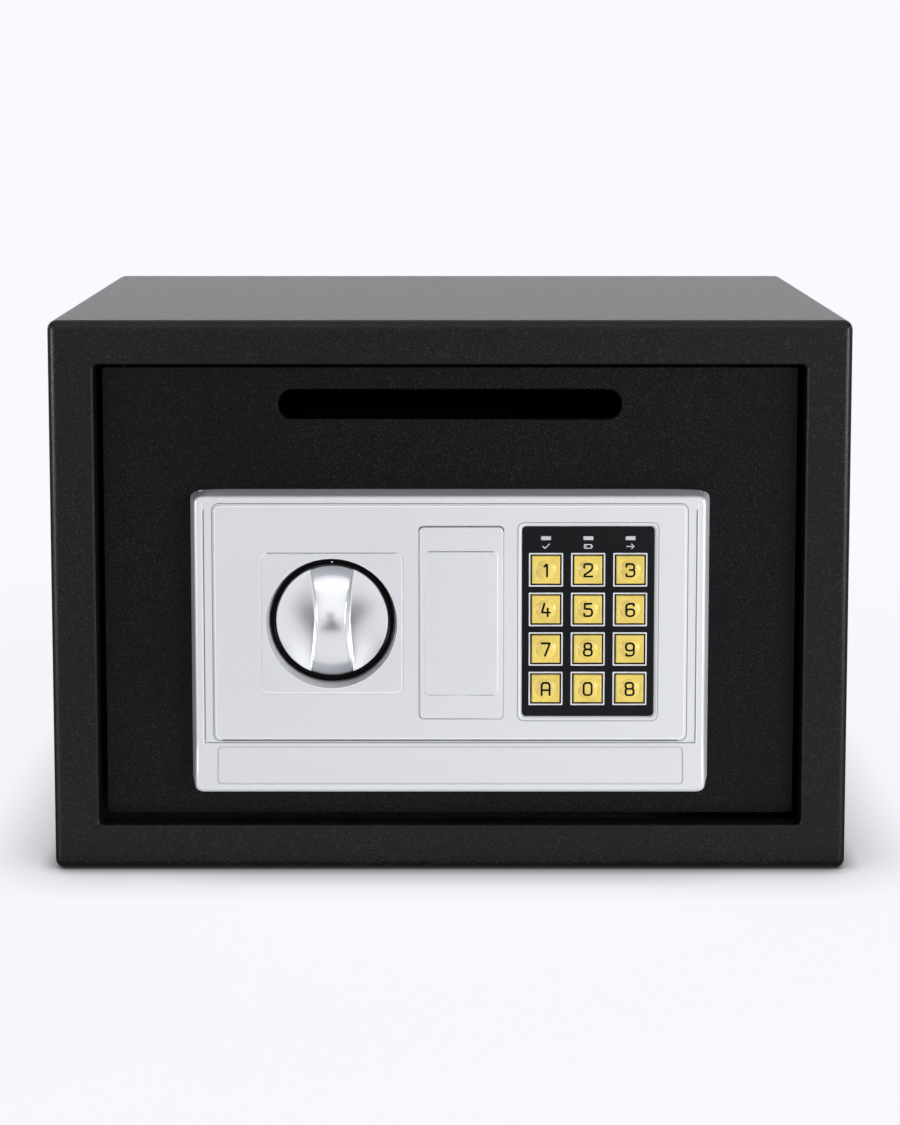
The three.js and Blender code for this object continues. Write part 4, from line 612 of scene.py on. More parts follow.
def stroke_faces(bm, line, width, surface):
    """A flat stroke of one width along a line, laid on surface(x, z), with round ends"""
    half = width / 2
    line = fine_line(line, LINE_STEP)
    closed = (line[0] - line[-1]).length < SAME_POINT
    sides = []
    for i, point in enumerate(line):
        before = line[i - 1] if i else (line[-2] if closed else point)
        after = line[i + 1] if i + 1 < len(line) else (line[1] if closed else point)
        along = (after - before).normalized()
        across = Vector((-along.y, along.x)) * half
        sides.append([bm.verts.new(surface(*(point + across * side))) for side in (-1, 0, 1)])
    for a, b in zip(sides, sides[1:]):
        for k in (0, 1):
            bm.faces.new((a[k], a[k + 1], b[k + 1], b[k]))
    if closed:
        return
    for end, inward in ((0, 1), (-1, -2)):
        away = (line[end] - line[inward]).normalized()
        start = math.atan2(away.y, away.x) - math.pi / 2
        middle = bm.verts.new(surface(*line[end]))
        arc = []
        for step in range(ROUND_STEPS + 1):
            angle = start + math.pi * step / ROUND_STEPS
            offset = Vector((math.cos(angle), math.sin(angle))) * half
            arc.append(bm.verts.new(surface(*(line[end] + offset))))
        for a, b in zip(arc, arc[1:]):
            bm.faces.new((middle, a, b))


def rectangle(x, z, half_w, half_h):
    left, right, foot, top = x - half_w, x + half_w, z - half_h, z + half_h
    return [(left, foot), (right, foot), (right, top), (left, top)]


def frame_faces(bm, x, z, half_w, half_h, width, radius, surface):
    """A flat frame round x, z whose band is width wide and whose middle line is half_w and half_h away"""
    band = width / 2
    outer = rounded_path(rectangle(x, z, half_w + band, half_h + band), radius + band, True)
    inner = rounded_path(rectangle(x, z, half_w - band, half_h - band), max(radius - band, LEAST_R), True)
    rows = [[bm.verts.new(surface(*point)) for point in line] for line in (outer, inner)]
    for k in range(len(rows[0]) - 1):
        bm.faces.new((rows[0][k], rows[0][k + 1], rows[1][k + 1], rows[1][k]))


# Keys: a square cap with a dome, drawn about its own middle, and the legend on the dome
KEY_STEPS = 44
KEY_CROWDING = 1.25
KEY_SHARP = 50
KEY_EDGE = 0.5 * MM
KEY_FLANGE = 1.1 * MM
DOME_R = 4.55 * MM
DOME_H = 1.1 * MM
DOME_FOOT = 0.9 * MM
DOME_GROOVE = 0.34 * MM
INK = 0.03 * MM
INK_WELD = 1e-6
STROKE = 0.9 * MM
GLYPH_W = 3.5 * MM
GLYPH_H = 5.5 * MM


def key_front(x, z, half):
    """How far the key's front stands behind the top of its dome, at x and z from its middle"""
    cap_radius = (DOME_R ** 2 + DOME_H ** 2) / (2 * DOME_H)
    off = math.hypot(x, z)
    dome = 0.0
    if off < DOME_R:
        dome = math.sqrt(cap_radius ** 2 - off ** 2) - (cap_radius - DOME_H)
    foot = max(0.0, 1 - abs(off - DOME_R) / DOME_FOOT) ** 2 * DOME_GROOVE
    edge = max(abs(x), abs(z)) - (half - KEY_EDGE)
    drop = KEY_EDGE - math.sqrt(max(KEY_EDGE ** 2 - max(edge, 0.0) ** 2, 0.0))
    return DOME_H - dome + foot + drop


def spaced(step, steps, half):
    """Places from -half to half that lie closer together near the edges"""
    share = 2 * step / steps - 1
    return half * math.copysign(1 - (1 - abs(share)) ** KEY_CROWDING, share)


def key_mesh(half, front, back):
    """The cap's mesh, with its front at y front, its back at y back and its middle at x 0, z 0"""
    bm = bmesh.new()
    rows = []
    for i in range(KEY_STEPS + 1):
        z = spaced(i, KEY_STEPS, half)
        row = []
        for k in range(KEY_STEPS + 1):
            x = spaced(k, KEY_STEPS, half)
            row.append(bm.verts.new((x, front + key_front(x, z, half), z)))
        rows.append(row)
    for i in range(KEY_STEPS):
        for k in range(KEY_STEPS):
            bm.faces.new((rows[i][k], rows[i][k + 1], rows[i + 1][k + 1], rows[i + 1][k]))
    rim = rows[0][:-1] + [row[-1] for row in rows[:-1]] + rows[-1][:0:-1] + [row[0] for row in rows[:0:-1]]
    close_back(bm, rim, back)
    return mesh_of(bm, "key_cap", KEY_SHARP, None)


# Legends: (closed, the roundness of the corners, the corners), in a box one wide and one high
GLYPHS = {
    "0": [(True, 0.42, [(0, 0), (1, 0), (1, 1), (0, 1)])],
    "1": [(False, 0.0, [(0.28, 0.8), (0.62, 1), (0.62, 0)])],
    "2": [
        (False, 0.42, [(0, 0.72), (0, 1), (1, 1), (1, 0.58), (0.02, 0.12), (0.0, 0)]),
        (False, 0, [(0, 0), (1, 0)]),
    ],
    "3": [
        (False, 0.42, [(0, 0.8), (0, 1), (0.95, 1), (0.95, 0.53), (0.4, 0.53)]),
        (False, 0.42, [(0.4, 0.53), (1, 0.53), (1, 0), (0, 0), (0, 0.2)]),
    ],
    "4": [(False, 0.1, [(0.3, 1), (0, 0.3), (1, 0.3)]), (False, 0, [(0.72, 0.62), (0.72, 0)])],
    "5": [
        (False, 0.42, [(0.02, 0.2), (0.02, 0), (1, 0), (1, 0.6), (0.08, 0.6)]),
        (False, 0.05, [(0.08, 0.6), (0.08, 1), (0.92, 1)]),
    ],
    "6": [
        (True, 0.42, [(0, 0), (1, 0), (1, 0.57), (0, 0.57)]),
        (False, 0.5, [(0, 0.3), (0, 1), (0.95, 1), (0.95, 0.85)]),
    ],
    "7": [(False, 0.05, [(0, 1), (1, 1), (0.4, 0)])],
    "8": [
        (True, 0.4, [(0, 0), (1, 0), (1, 0.53), (0, 0.53)]),
        (True, 0.4, [(0.07, 0.53), (0.93, 0.53), (0.93, 1), (0.07, 1)]),
    ],
    "9": [
        (True, 0.42, [(0, 0.43), (1, 0.43), (1, 1), (0, 1)]),
        (False, 0.5, [(1, 0.7), (1, 0), (0.05, 0), (0.05, 0.15)]),
    ],
    "a": [(False, 0.42, [(0, 0), (0, 1), (1, 1), (1, 0)]), (False, 0, [(0, 0.42), (1, 0.42)])],
    "b": [
        (True, 0.3, [(0, 0), (1, 0), (1, 0.53), (0, 0.53)]),
        (True, 0.3, [(0, 0.53), (0.92, 0.53), (0.92, 1), (0, 1)]),
    ],
}


def legend_mesh(glyph, surface):
    bm = bmesh.new()
    for closed, radius, points in GLYPHS[glyph]:
        corners = [((x - 0.5) * GLYPH_W, (z - 0.5) * GLYPH_H) for x, z in points]
        stroke_faces(bm, rounded_path(corners, radius * GLYPH_W, closed), STROKE, surface)
    return mesh_of(bm, "legend", None, INK_WELD)


def build_keys():
    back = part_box("keypad_plate")[1].y
    for glyph in GLYPHS:
        node = "key_" + glyph
        low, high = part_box(node)
        middle = middle_of(node)
        half = (high.x - low.x) / 2 - KEY_FLANGE
        mesh = key_mesh(half, low.y, back)
        mesh.transform(Matrix.Translation((middle.x, 0, middle.z)))
        add_piece(node + "_fine", mesh, node, "key_gold", None, [node])

        def surface(x, z):
            return (middle.x + x, low.y + key_front(x, z, half) - INK, middle.z + z)

        add_piece("legend_" + glyph, legend_mesh(glyph, surface), node, "key_gold", "ink_black")


build_keys()


# Prints on the keypad: the outlines round the keys and the signs under the lights; and painted shade, a
# black strip in the gap round each key
OUTLINE_HALF = 7.125 * MM
OUTLINE_W = 0.62 * MM
OUTLINE_R = 0.1 * MM
GAP_SHADE_HALF = 6.64 * MM
GAP_SHADE_W = 0.36 * MM
PRINT = 0.025 * MM
SYMBOL_DROP = 3.6 * MM
SYMBOL_STROKE = 0.36 * MM
SYMBOL_R = 0.15 * MM
TICK = [(False, [(-1.5, 0.1), (-0.5, -0.9), (1.5, 1.1)])]
CELL = [
    (True, [(-1.7, -0.8), (1.3, -0.8), (1.3, 0.8), (-1.7, 0.8)]),
    (False, [(1.75, -0.3), (1.75, 0.3)]),
    (False, [(-1.0, -0.3), (-1.0, 0.3)]),
]
ARROW = [(False, [(-1.6, 0), (1.6, 0)]), (False, [(0.5, 1.0), (1.6, 0), (0.5, -1.0)])]


def build_prints():
    body = BODIES["keypad_plate"]
    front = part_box("keypad_plate")[0].y

    def on_plate(x, z):
        return (x, front - PRINT, z)

    # The outlines are print; the other frames are painted shade, a black strip laid in the gap between each
    # key and its outline
    for name, half, width, radius, finish in (
        ("key_outlines", OUTLINE_HALF, OUTLINE_W, OUTLINE_R, "ink_pale"),
        ("key_gap_shade", GAP_SHADE_HALF, GAP_SHADE_W, GAP_SHADE_W, "black_gloss"),
    ):
        bm = bmesh.new()
        for glyph in GLYPHS:
            middle = middle_of("key_" + glyph)
            frame_faces(bm, middle.x, middle.z, half, half, width, radius, on_plate)
        add_piece(name, mesh_of(bm, name), body, "keypad_black", finish)
    bm = bmesh.new()
    for number, symbol in enumerate((TICK, CELL, ARROW), 1):
        low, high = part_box(f"indicator_{number}")
        x, z = (low.x + high.x) / 2, (low.z + high.z) / 2 - SYMBOL_DROP
        for closed, points in symbol:
            corners = [(x + a * MM, z + b * MM) for a, b in points]
            stroke_faces(bm, rounded_path(corners, SYMBOL_R, closed), SYMBOL_STROKE, on_plate)
    add_piece("light_symbols", mesh_of(bm, "light_symbols"), body, "keypad_black", "ink_pale")


build_prints()


# Knob: a domed grip with drawn-in sides, which stands between two scooped lobes, in a ring
KNOB_CROWN = 11.4 * MM
KNOB_ROWS = 132
KNOB_WELD = 1e-6
KNOB_SHARP = 40
CORNER_FROM = 0.8
CORNER_HALVINGS = 40
GRIP_WAIST = 12.6 * MM
GRIP_END = 19.8 * MM
GRIP_EDGE = 0.45 * MM
GRIP_DRAFT = math.tan(math.radians(4))
LOBE_SCOOP = 2.9 * MM
LOBE_FILLET = 1.2 * MM
LOBE_CROWDING = 1.5
LIP_ROUND = 0.35 * MM
NO_LOBE = 1e-9
RING_W = 2.2 * MM
RING_CREST = 0.8 * MM
RING_STEPS = 144
RING_ROUND_STEPS = 12
RING_SHARP = 50

# How many steps the knob's section has along each of its parts, from the middle out
TOP_STEPS = 16
EDGE_STEPS = 6
WALL_STEPS = 4
FILLET_STEPS = 10
LOBE_STEPS = 20

# The most of the room beside it, or of its height, that a part of the section takes where that is small
EDGE_SHARE = 1 / 4
FILLET_SHARE = 0.45
FILLET_LOBE_SHARE = 0.6
DRAFT_LOBE_SHARE = 0.2

# The mark on the ring: radii, and how many prints each stands behind the ring's front
RING_MARK = ((0.36 * MM, 1), (0.3 * MM, -1), (0.12 * MM, -2), (0.1 * MM, 1))
RING_MARK_STEPS = 24


def grip_half(z, r):
    sag = (GRIP_END - GRIP_WAIST) / 2
    radius = (r ** 2 + sag ** 2) / (2 * sag)
    return GRIP_WAIST / 2 + radius - math.sqrt(radius ** 2 - z ** 2)


def dome_height(off, r):
    radius = (r ** 2 + KNOB_CROWN ** 2) / (2 * KNOB_CROWN)
    return math.sqrt(radius ** 2 - off ** 2) - (radius - KNOB_CROWN)


def lobe_height(share, z, corner):
    """The lobe's dish: deepest at the grip, where share is 0, and out at the rim, where it is 1"""
    return -LOBE_SCOOP * (1 - min(share, 1.0) ** 2) * max(1 - (z / corner) ** 2, 0.0)


def lip_drop(inset):
    """How far the rounding of the rim falls at inset from it"""
    over = max(LIP_ROUND - inset, 0.0)
    return LIP_ROUND - math.sqrt(max(LIP_ROUND ** 2 - min(over, LIP_ROUND) ** 2, 0.0))


def knob_corner(r):
    """The height over the knob's middle at which the side of the grip meets the rim"""
    inner, outer = CORNER_FROM * r, r
    for _ in range(CORNER_HALVINGS):
        z = (inner + outer) / 2
        if math.sqrt(r ** 2 - z ** 2) > grip_half(z, r):
            inner = z
        else:
            outer = z
    return inner


def knob_section(z, r, corner):
    """Points (x, height over the rim) across the right half of the knob at z from its middle"""
    reach = math.sqrt(max(r ** 2 - z ** 2, 0.0))
    half = min(grip_half(z, r), reach)
    lobe = reach - half
    depth = dome_height(math.hypot(half, z), r) - lobe_height(0, z, corner)
    edge = min(GRIP_EDGE, depth * EDGE_SHARE)
    round_w = min(GRIP_EDGE, half / 2)
    line = []
    for step in range(TOP_STEPS + 1):
        x = (half - round_w) * step / TOP_STEPS
        line.append((x, dome_height(math.hypot(x, z), r)))
    for step in range(1, EDGE_STEPS + 1):
        turn = step / EDGE_STEPS * math.pi / 2
        x = half - round_w + round_w * math.sin(turn)
        line.append((x, dome_height(math.hypot(x, z), r) - edge * (1 - math.cos(turn))))
    fillet = min(LOBE_FILLET, FILLET_SHARE * (depth - edge), FILLET_LOBE_SHARE * lobe)
    wall = depth - edge - fillet
    draft = min(wall * GRIP_DRAFT, DRAFT_LOBE_SHARE * lobe)
    top = line[-1][1]
    for step in range(1, WALL_STEPS + 1):
        line.append((half + draft * step / WALL_STEPS, top - wall * step / WALL_STEPS))
    start = half + draft + fillet
    for step in range(1, FILLET_STEPS + 1):
        turn = step / FILLET_STEPS * math.pi / 2
        x = half + draft + fillet * (1 - math.cos(turn))
        share = (x - half) / max(lobe, NO_LOBE)
        line.append((x, lobe_height(share, z, corner) + fillet * (1 - math.sin(turn))))
    for step in range(1, LOBE_STEPS + 1):
        x = start + (reach - start) * (1 - (1 - step / LOBE_STEPS) ** LOBE_CROWDING)
        line.append((x, lobe_height((x - half) / max(lobe, NO_LOBE), z, corner)))
    return [(x, height - lip_drop(r - math.hypot(x, z))) for x, height in line]


def build_knob():
    low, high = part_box("knob")
    middle = middle_of("knob")
    r = (high.x - low.x) / 2
    rim = low.y + KNOB_CROWN
    corner = knob_corner(r)
    heights = {r * math.sin((step / KNOB_ROWS - 0.5) * math.pi) for step in range(KNOB_ROWS + 1)}
    bm = bmesh.new()
    rows = []
    for z in sorted(heights | {-corner, corner}):
        half = knob_section(z, r, corner)
        line = [(-x, height) for x, height in half[:0:-1]] + half
        rows.append([bm.verts.new((middle.x + x, rim - height, middle.z + z)) for x, height in line])
    for a, b in zip(rows, rows[1:]):
        for k in range(len(a) - 1):
            bm.faces.new((a[k], a[k + 1], b[k + 1], b[k]))
    bmesh.ops.remove_doubles(bm, verts=bm.verts, dist=KNOB_WELD)
    outline = [vert for vert in bm.verts if vert.is_boundary]
    outline.sort(key=lambda vert: math.atan2(vert.co.z - middle.z, vert.co.x - middle.x))
    close_back(bm, outline, high.y)
    mesh = mesh_of(bm, "knob_fine", KNOB_SHARP)
    add_piece("knob_fine", mesh, BODIES["knob"], "knob_silver", None, ["knob"])


def turned(profile, x, z, steps):
    """A closed (radius, y) profile turned about the line through x, z"""
    bm = bmesh.new()
    rings = []
    for step in range(steps):
        turn = 2 * math.pi * step / steps
        rings.append([bm.verts.new((x + r * math.cos(turn), y, z + r * math.sin(turn))) for r, y in profile])
    for k, ring in enumerate(rings):
        after = rings[(k + 1) % steps]
        for i in range(len(profile)):
            j = (i + 1) % len(profile)
            bm.faces.new((ring[i], ring[j], after[j], after[i]))
    bmesh.ops.recalc_face_normals(bm, faces=bm.faces)
    return bm


def build_ring():
    low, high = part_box("knob_ring")
    middle = middle_of("knob_ring")
    body = BODIES["knob_ring"]
    outer = (high.x - low.x) / 2
    half = RING_W / 2
    profile = [(outer, high.y)]
    for step in range(RING_ROUND_STEPS + 1):
        turn = step / RING_ROUND_STEPS * math.pi
        profile.append((outer - half + half * math.cos(turn), low.y + RING_CREST * (1 - math.sin(turn))))
    profile.append((outer - RING_W, high.y))
    ring = mesh_of(turned(profile, middle.x, middle.z, RING_STEPS), "ring", RING_SHARP)
    add_piece("knob_ring_fine", ring, body, "black_gloss", None, ["knob_ring"])
    profile = [(r, low.y + prints * PRINT) for r, prints in RING_MARK]
    mark = mesh_of(turned(profile, middle.x, middle.z + outer - half, RING_MARK_STEPS), "ring_mark")
    add_piece("ring_mark", mark, body, "black_gloss", "ink_pale")


build_knob()
build_ring()


# Painted highlights and painted shade on the panel, drawn as pale and dark strips that lie on it along its
# fine steps and seams: first the edges that they follow
PANEL_SIDE = 112 * MM
PANEL_H = 131.6 * MM
CHIN_H = 21.9 * MM
BORDER = 4.4 * MM
FIELD = dict(side=9.1 * MM, top=4.2 * MM, low=1.8 * MM, radius=2.7 * MM)
ESCUTCHEON = dict(half=31 * MM, radius=3.3 * MM)
COVER_PAD = dict(width=31.7 * MM, height=63.7 * MM, radius=1.6 * MM)
COVER_PROUD = 1.2 * MM

# Then the strips, of which the light ones and the mouth's ring are painted highlights and the others painted
# shade: widths in millimetres, and how far outside its edge each one lies
FIELD_LIGHT = dict(width=0.4, out=-0.3 * MM)
FIELD_SHADE = dict(width=0.36, out=0.95 * MM, rounder=0.9 * MM)
FIELD_FOOT_SHADE = dict(width=0.46, out=0.5 * MM, shorter=3 * MM)
ESCUTCHEON_LIGHT = dict(width=0.42, out=-0.15 * MM)
ESCUTCHEON_TOP_SHADE = dict(width=0.5, out=0.22 * MM, longer=0.6 * MM)
MOUTH_HIGHLIGHT = dict(width=0.34, radius=28.85 * MM, steps=144)
PAD_LIGHT = dict(width=0.5, out=1.1 * MM, radius=2.4 * MM)
PAD_SHADE = dict(width=0.3, out=2.1 * MM, radius=3.2 * MM)
SIDE_LIGHT = dict(width=0.36, out=0.62 * MM, low=0.6 * MM, top=3 * MM)
SIDE_GAP_SHADE = dict(width=0.4, top=6.3 * MM)
CHIN_SEAM_SHADE_W = 0.4
CHIN_PLATE_SHADE = dict(width=0.36, side=10 * MM, low=4.4 * MM, height=15.7 * MM, radius=1.8 * MM)
COVER_LINE_W = 0.36
COVER_SEAM_SHADE = dict(half=0.21 * MM, top=2 * MM, radius=1.8 * MM)


def surface_over(node):
    """A function that lays x, z on the front of a node"""
    mesh = frame["nodes"][node].data
    tree = BVHTree.FromPolygons([v.co for v in mesh.vertices], [p.vertices for p in mesh.polygons])

    def laid(x, z):
        hit = tree.ray_cast(Vector((x, -1, z)), Vector((0, 1, 0)))[0]
        return (x, hit.y - PRINT, z)

    return laid


def add_lines(name, node, finish, lines, frames=()):
    """One piece of strips laid on a node: lines are (width, points), and frames are what framed returns"""
    laid = surface_over(node)
    bm = bmesh.new()
    for width, points in lines:
        stroke_faces(bm, [Vector(point) for point in points], width * MM, laid)
    for width, x, z, half_w, half_h, radius in frames:
        corners = rectangle(x, z, half_w, half_h)
        stroke_faces(bm, rounded_path(corners, radius, True), width * MM, laid)
    add_piece(name, mesh_of(bm, name), BODIES[node], SLOTS[node], finish)


def framed(strip, x, z, half_w, half_h, radius):
    """A strip right round a rectangle: (width, x, z, half width, half height, radius)"""
    return (strip["width"], x, z, half_w + strip["out"], half_h + strip["out"], radius)


def build_panel_lines():
    low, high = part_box("panel_housing")
    middle = (low.z + high.z) / 2
    foot, top = middle - PANEL_H / 2, middle + PANEL_H / 2
    chin = foot + CHIN_H
    side = PANEL_SIDE - BORDER
    field_half = PANEL_SIDE - FIELD["side"]
    field_low, field_top = chin + FIELD["low"], top - FIELD["top"]
    field = (0, (field_low + field_top) / 2, field_half, (field_top - field_low) / 2)
    pad_low, pad_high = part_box("keypad_plate")
    pad_middle = middle_of("keypad_plate")
    pad = (pad_middle.x, pad_middle.z, (pad_high.x - pad_low.x) / 2, (pad_high.z - pad_low.z) / 2)
    knob = middle_of("knob")
    edge = ESCUTCHEON["half"]

    turns = [k * math.pi / (MOUTH_HIGHLIGHT["steps"] / 2) for k in range(MOUTH_HIGHLIGHT["steps"])]
    mouth = [(knob.x + MOUTH_HIGHLIGHT["radius"] * math.sin(t), knob.z + MOUTH_HIGHLIGHT["radius"] * math.cos(t)) for t in turns]
    lit = side + SIDE_LIGHT["out"]
    light = [(MOUTH_HIGHLIGHT["width"], mouth + mouth[:1])]
    grey = [(CHIN_SEAM_SHADE_W, [(-side, chin), (side, chin)])]
    for sign in (-1, 1):
        upright = [(sign * lit, chin - SIDE_LIGHT["low"]), (sign * lit, top - SIDE_LIGHT["top"])]
        light.append((SIDE_LIGHT["width"], upright))
        grey.append((SIDE_GAP_SHADE["width"], [(sign * side, chin), (sign * side, top - SIDE_GAP_SHADE["top"])]))
    # White strips: painted highlights round the field, the escutcheon and the keypad, on the recess's mouth
    # and down the panel's sides
    add_lines("panel_painted_highlights", "panel_housing", "painted_highlight", light, [
        framed(FIELD_LIGHT, *field, FIELD["radius"]),
        framed(ESCUTCHEON_LIGHT, knob.x, knob.z, edge, edge, ESCUTCHEON["radius"]),
        framed(PAD_LIGHT, *pad, PAD_LIGHT["radius"]),
    ])
    # Grey strips: painted shade round the field and the keypad, along the chin's seam and down the border
    # grooves at the sides
    add_lines("panel_painted_shade", "panel_housing", "painted_shade_grey", grey, [
        framed(FIELD_SHADE, *field, FIELD["radius"] + FIELD_SHADE["rounder"]),
        framed(PAD_SHADE, *pad, PAD_SHADE["radius"]),
    ])

    # A faint grey strip round the chin plate: painted shade
    plate_half = PANEL_SIDE - CHIN_PLATE_SHADE["side"]
    plate_z = foot + CHIN_PLATE_SHADE["low"] + CHIN_PLATE_SHADE["height"] / 2
    plate = (CHIN_PLATE_SHADE["width"], 0, plate_z, plate_half, CHIN_PLATE_SHADE["height"] / 2, CHIN_PLATE_SHADE["radius"])
    add_lines("panel_painted_faint_shade", "panel_housing", "painted_faint_shade", [], [plate])

    # Dark strips over the escutcheon and under the field: painted shadow
    arm = edge - ESCUTCHEON["radius"] + ESCUTCHEON_TOP_SHADE["longer"]
    over = knob.z + edge + ESCUTCHEON_TOP_SHADE["out"]
    reach = field_half - FIELD_FOOT_SHADE["shorter"]
    under = field_low - FIELD_FOOT_SHADE["out"]
    add_lines("panel_painted_dark_shade", "panel_housing", "painted_dark_shade", [
        (ESCUTCHEON_TOP_SHADE["width"], [(knob.x - arm, over), (knob.x + arm, over)]),
        (FIELD_FOOT_SHADE["width"], [(-reach, under), (reach, under)]),
    ])


# Painted shade and painted highlights on the cover that pulls off: grey strips along its pad's top and foot,
# white strips down its sides, and a mid-grey strip of painted shade laid in the seam round it
def build_cover_lines():
    low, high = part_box("key_cover")
    middle = middle_of("key_cover")
    half_w, half_h = COVER_PAD["width"] / 2, COVER_PAD["height"] / 2
    reach, rise = half_w - COVER_PAD["radius"], half_h - COVER_PAD["radius"]
    level, upright = [], []
    for sign in (-1, 1):
        x, z = middle.x + sign * half_w, middle.z + sign * half_h
        level.append((COVER_LINE_W, [(middle.x - reach, z), (middle.x + reach, z)]))
        upright.append((COVER_LINE_W, [(x, middle.z - rise), (x, middle.z + rise)]))
    add_lines("cover_painted_shade", "key_cover", "painted_shade_grey", level)

    left, right = low.x - COVER_SEAM_SHADE["half"], high.x + COVER_SEAM_SHADE["half"]
    foot, top = low.z - COVER_SEAM_SHADE["half"], high.z - COVER_SEAM_SHADE["top"]
    corners = [(left, top), (left, foot), (right, foot), (right, top)]
    seat = low.y + COVER_PROUD + PRINT

    def in_seam(x, z):
        return (x, seat, z)

    bm = bmesh.new()
    stroke_faces(bm, rounded_path(corners, COVER_SEAM_SHADE["radius"]), 2 * COVER_SEAM_SHADE["half"], in_seam)
    add_piece("cover_seam_painted_shade", mesh_of(bm, "cover_seam_painted_shade"), BODIES["panel_housing"], "panel_silver", "painted_faint_shade")
    add_lines("cover_painted_highlights", "key_cover", "painted_highlight", upright)


build_panel_lines()
build_cover_lines()


# Lamps, world, floor and camera
def soft_box(name, at, size, power):
    data = bpy.data.lights.new(name, "AREA")
    data.shape = "RECTANGLE"
    data.size, data.size_y = size
    data.energy = power
    lamp = bpy.data.objects.new(name, data)
    bpy.context.scene.collection.objects.link(lamp)
    lamp.location = at
    lamp.rotation_euler = (Vector(LAMP_TARGET) - Vector(at)).to_track_quat("-Z", "Y").to_euler()
    return lamp


def build_lamps():
    soft_box("front_lamp", **FRONT_LAMP).visible_glossy = False
    soft_box("top_strip", **TOP_STRIP).visible_diffuse = False
    x, y, z = SIDE_STRIP["at"]
    for side, name in ((-1, "left_strip"), (1, "right_strip")):
        soft_box(name, (side * x, y, z), SIDE_STRIP["size"], SIDE_STRIP["power"]).visible_diffuse = False


def studio_level(nodes, x, y, z, ahead, above, behind, side):
    """The studio's brightness by heading: ahead of the safe, above, behind, beside it and on the horizon"""
    level = nodes.span(y, *BEHIND_SPAN, ahead, behind)
    wide = nodes.span(nodes.math("ABSOLUTE", x), *SIDE_SPAN)
    level = nodes.blend(wide, level, side)
    level = nodes.blend(nodes.span(z, *ABOVE_SPAN), level, above)
    low = nodes.span(nodes.math("ABSOLUTE", z), *HORIZON_SPAN, 1.0, 0.0)
    rear = nodes.math("MULTIPLY", nodes.span(y, *HORIZON_BEHIND_SPAN), low)
    return nodes.blend(rear, level, HORIZON)


def stand_shade(nodes, x, y, side_span, ahead_span):
    """0 at the camera's stand, and 1 beside it and nearer than it"""
    off = nodes.math("ABSOLUTE", nodes.math("SUBTRACT", x, STAND_X))
    return nodes.math("MAXIMUM", nodes.span(off, *side_span), nodes.span(y, *ahead_span))


def build_world():
    """A studio that is dim above and pale behind, before a plain background"""
    world = bpy.data.worlds.new("studio")
    world.use_nodes = True
    bpy.context.scene.world = world
    nodes = Nodes(world.node_tree)
    heading = nodes.add("ShaderNodeSeparateXYZ")
    nodes.feed(heading.inputs[0], nodes.add("ShaderNodeTexCoord").outputs["Generated"])
    x, y, z = (heading.outputs[name] for name in "XYZ")
    matt = studio_level(nodes, x, y, z, MATT_AHEAD, MATT_ABOVE, MATT_BEHIND, MATT_AHEAD)
    mirror = studio_level(nodes, x, y, z, MIRROR_AHEAD, MIRROR_ABOVE, MIRROR_BEHIND, MIRROR_SIDE)
    stand = stand_shade(nodes, x, y, STAND_SIDE_SPAN, STAND_AHEAD_SPAN)
    stand = nodes.math("MAXIMUM", stand, nodes.span(z, *STAND_TOP_SPAN))
    mirror = nodes.math("MULTIPLY", mirror, stand)
    path = nodes.add("ShaderNodeLightPath")
    level = nodes.blend(path.outputs["Is Glossy Ray"], matt, mirror)
    studio = nodes.pale(nodes.tree.nodes["Background"], level)
    plain = nodes.pale(nodes.add("ShaderNodeBackground"))
    nodes.choose(path.outputs["Is Camera Ray"], studio, plain, "World Output")


def floor_mirror(nodes, x, y):
    """The floor's brightness in shiny surfaces: dark under the camera's stand, and dim beside the safe"""
    stand = stand_shade(nodes, x, y, FLOOR_STAND_SIDE_SPAN, FLOOR_STAND_AHEAD_SPAN)
    ahead = nodes.span(y, *FLOOR_MIRROR_SPAN, FLOOR_MIRROR_FAR, FLOOR_MIRROR_NEAR)
    ahead = nodes.math("MULTIPLY", stand, ahead)
    return nodes.blend(nodes.span(y, *FLOOR_BESIDE_SPAN), ahead, FLOOR_MIRROR_BESIDE)


def floor_light(nodes):
    """1 away from the safe, and less in its wide shadow and in the narrow one where it stands"""
    light = []
    for reach in (FLOOR_SHADE_REACH, FLOOR_CONTACT_REACH):
        shadow = nodes.add("ShaderNodeAmbientOcclusion", samples=FLOOR_SHADE_SAMPLES)
        shadow.inputs["Distance"].default_value = reach
        light.append(shadow.outputs["AO"])
    return nodes.math("MULTIPLY", *light)


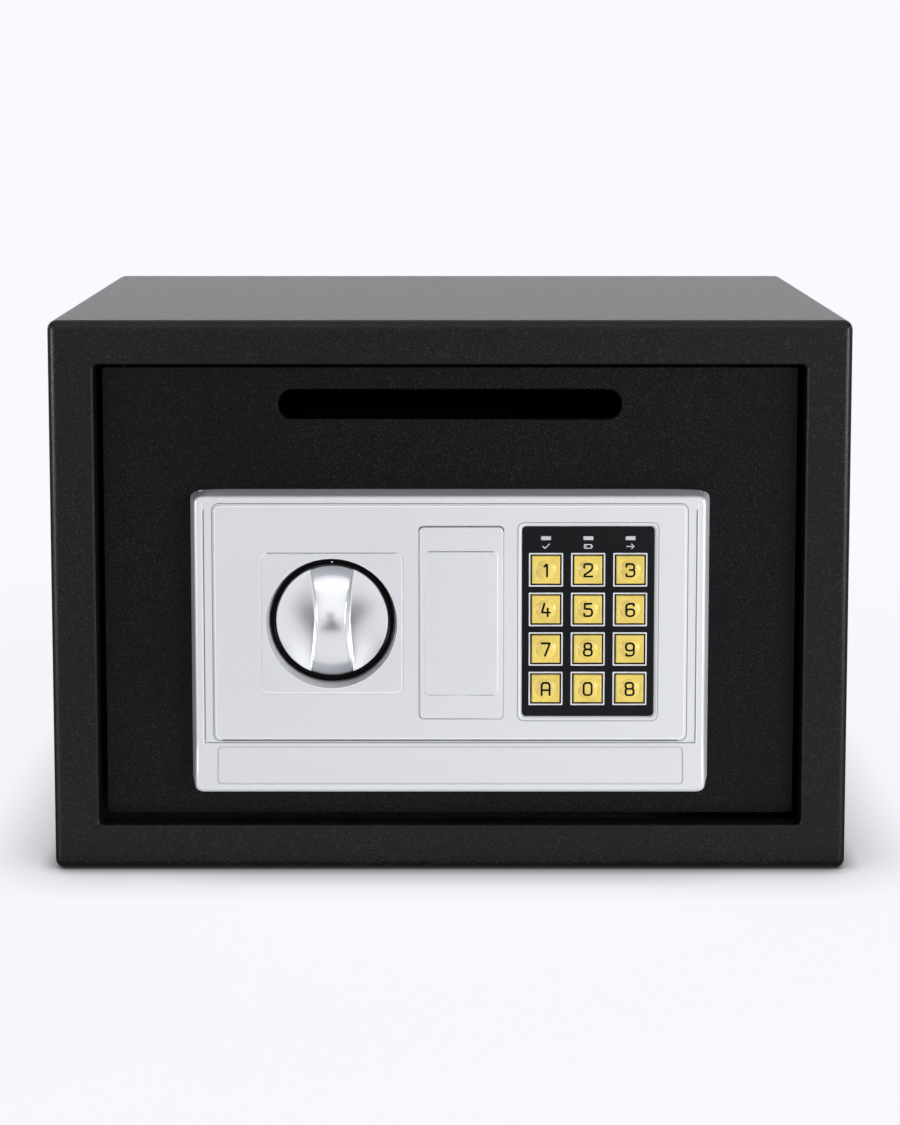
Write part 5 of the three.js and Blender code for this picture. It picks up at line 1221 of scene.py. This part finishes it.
def build_floor():
    """A pale floor that takes the shadow near the safe and runs out into the background"""
    mesh = bpy.data.meshes.new("floor")
    r = FLOOR_REACH
    mesh.from_pydata([(-r, -r, 0), (r, -r, 0), (r, r, 0), (-r, r, 0)], [], [(0, 1, 2, 3)])
    floor = bpy.data.objects.new("floor", mesh)
    floor.location.z = -FLOOR_DROP
    bpy.context.scene.collection.objects.link(floor)
    nodes = Finish("floor_white", shade(FLOOR_COLOUR, FLOOR_MATT), FLOOR_ROUGHNESS, 0.0, 0.0)
    mesh.materials.append(nodes.material)
    place = nodes.add("ShaderNodeSeparateXYZ")
    nodes.feed(place.inputs[0], nodes.place())
    length = nodes.add("ShaderNodeVectorMath", operation="LENGTH")
    nodes.feed(length.inputs[0], nodes.place())
    far = nodes.span(length.outputs["Value"], *FLOOR_FADE_SPAN)
    path = nodes.add("ShaderNodeLightPath")
    glow = nodes.math("MULTIPLY", floor_light(nodes), FLOOR_GLOW)
    seen = nodes.math("MULTIPLY", glow, path.outputs["Is Camera Ray"])
    mirror = floor_mirror(nodes, place.outputs["X"], place.outputs["Y"])
    mirrored = nodes.math("MULTIPLY", mirror, path.outputs["Is Glossy Ray"])
    bounce = nodes.math("MULTIPLY", path.outputs["Is Diffuse Ray"], FLOOR_BOUNCE)
    strength = nodes.math("ADD", nodes.math("ADD", seen, mirrored), bounce)
    both = nodes.add("ShaderNodeAddShader")
    nodes.feed(both.inputs[0], nodes.shader.outputs[0])
    nodes.feed(both.inputs[1], nodes.pale(nodes.add("ShaderNodeEmission"), strength))
    plain = nodes.pale(nodes.add("ShaderNodeEmission"))
    beyond = nodes.math("MULTIPLY", far, path.outputs["Is Camera Ray"])
    nodes.choose(beyond, both.outputs[0], plain, "Material Output")


def build_camera():
    data = bpy.data.cameras.new("camera")
    data.lens = CAMERA_LENS
    data.shift_y = CAMERA_SHIFT
    data.clip_end = CAMERA_CLIP
    camera = bpy.data.objects.new("camera", data)
    bpy.context.scene.collection.objects.link(camera)
    camera.location = (0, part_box("body_shell")[0].y - CAMERA_AHEAD, CAMERA_HEIGHT)
    camera.rotation_euler = (math.pi / 2 - CAMERA_PITCH, 0, 0)
    bpy.context.scene.camera = camera


build_lamps()
build_world()
build_floor()
build_camera()
bpy.context.scene.view_settings.view_transform = "Standard"
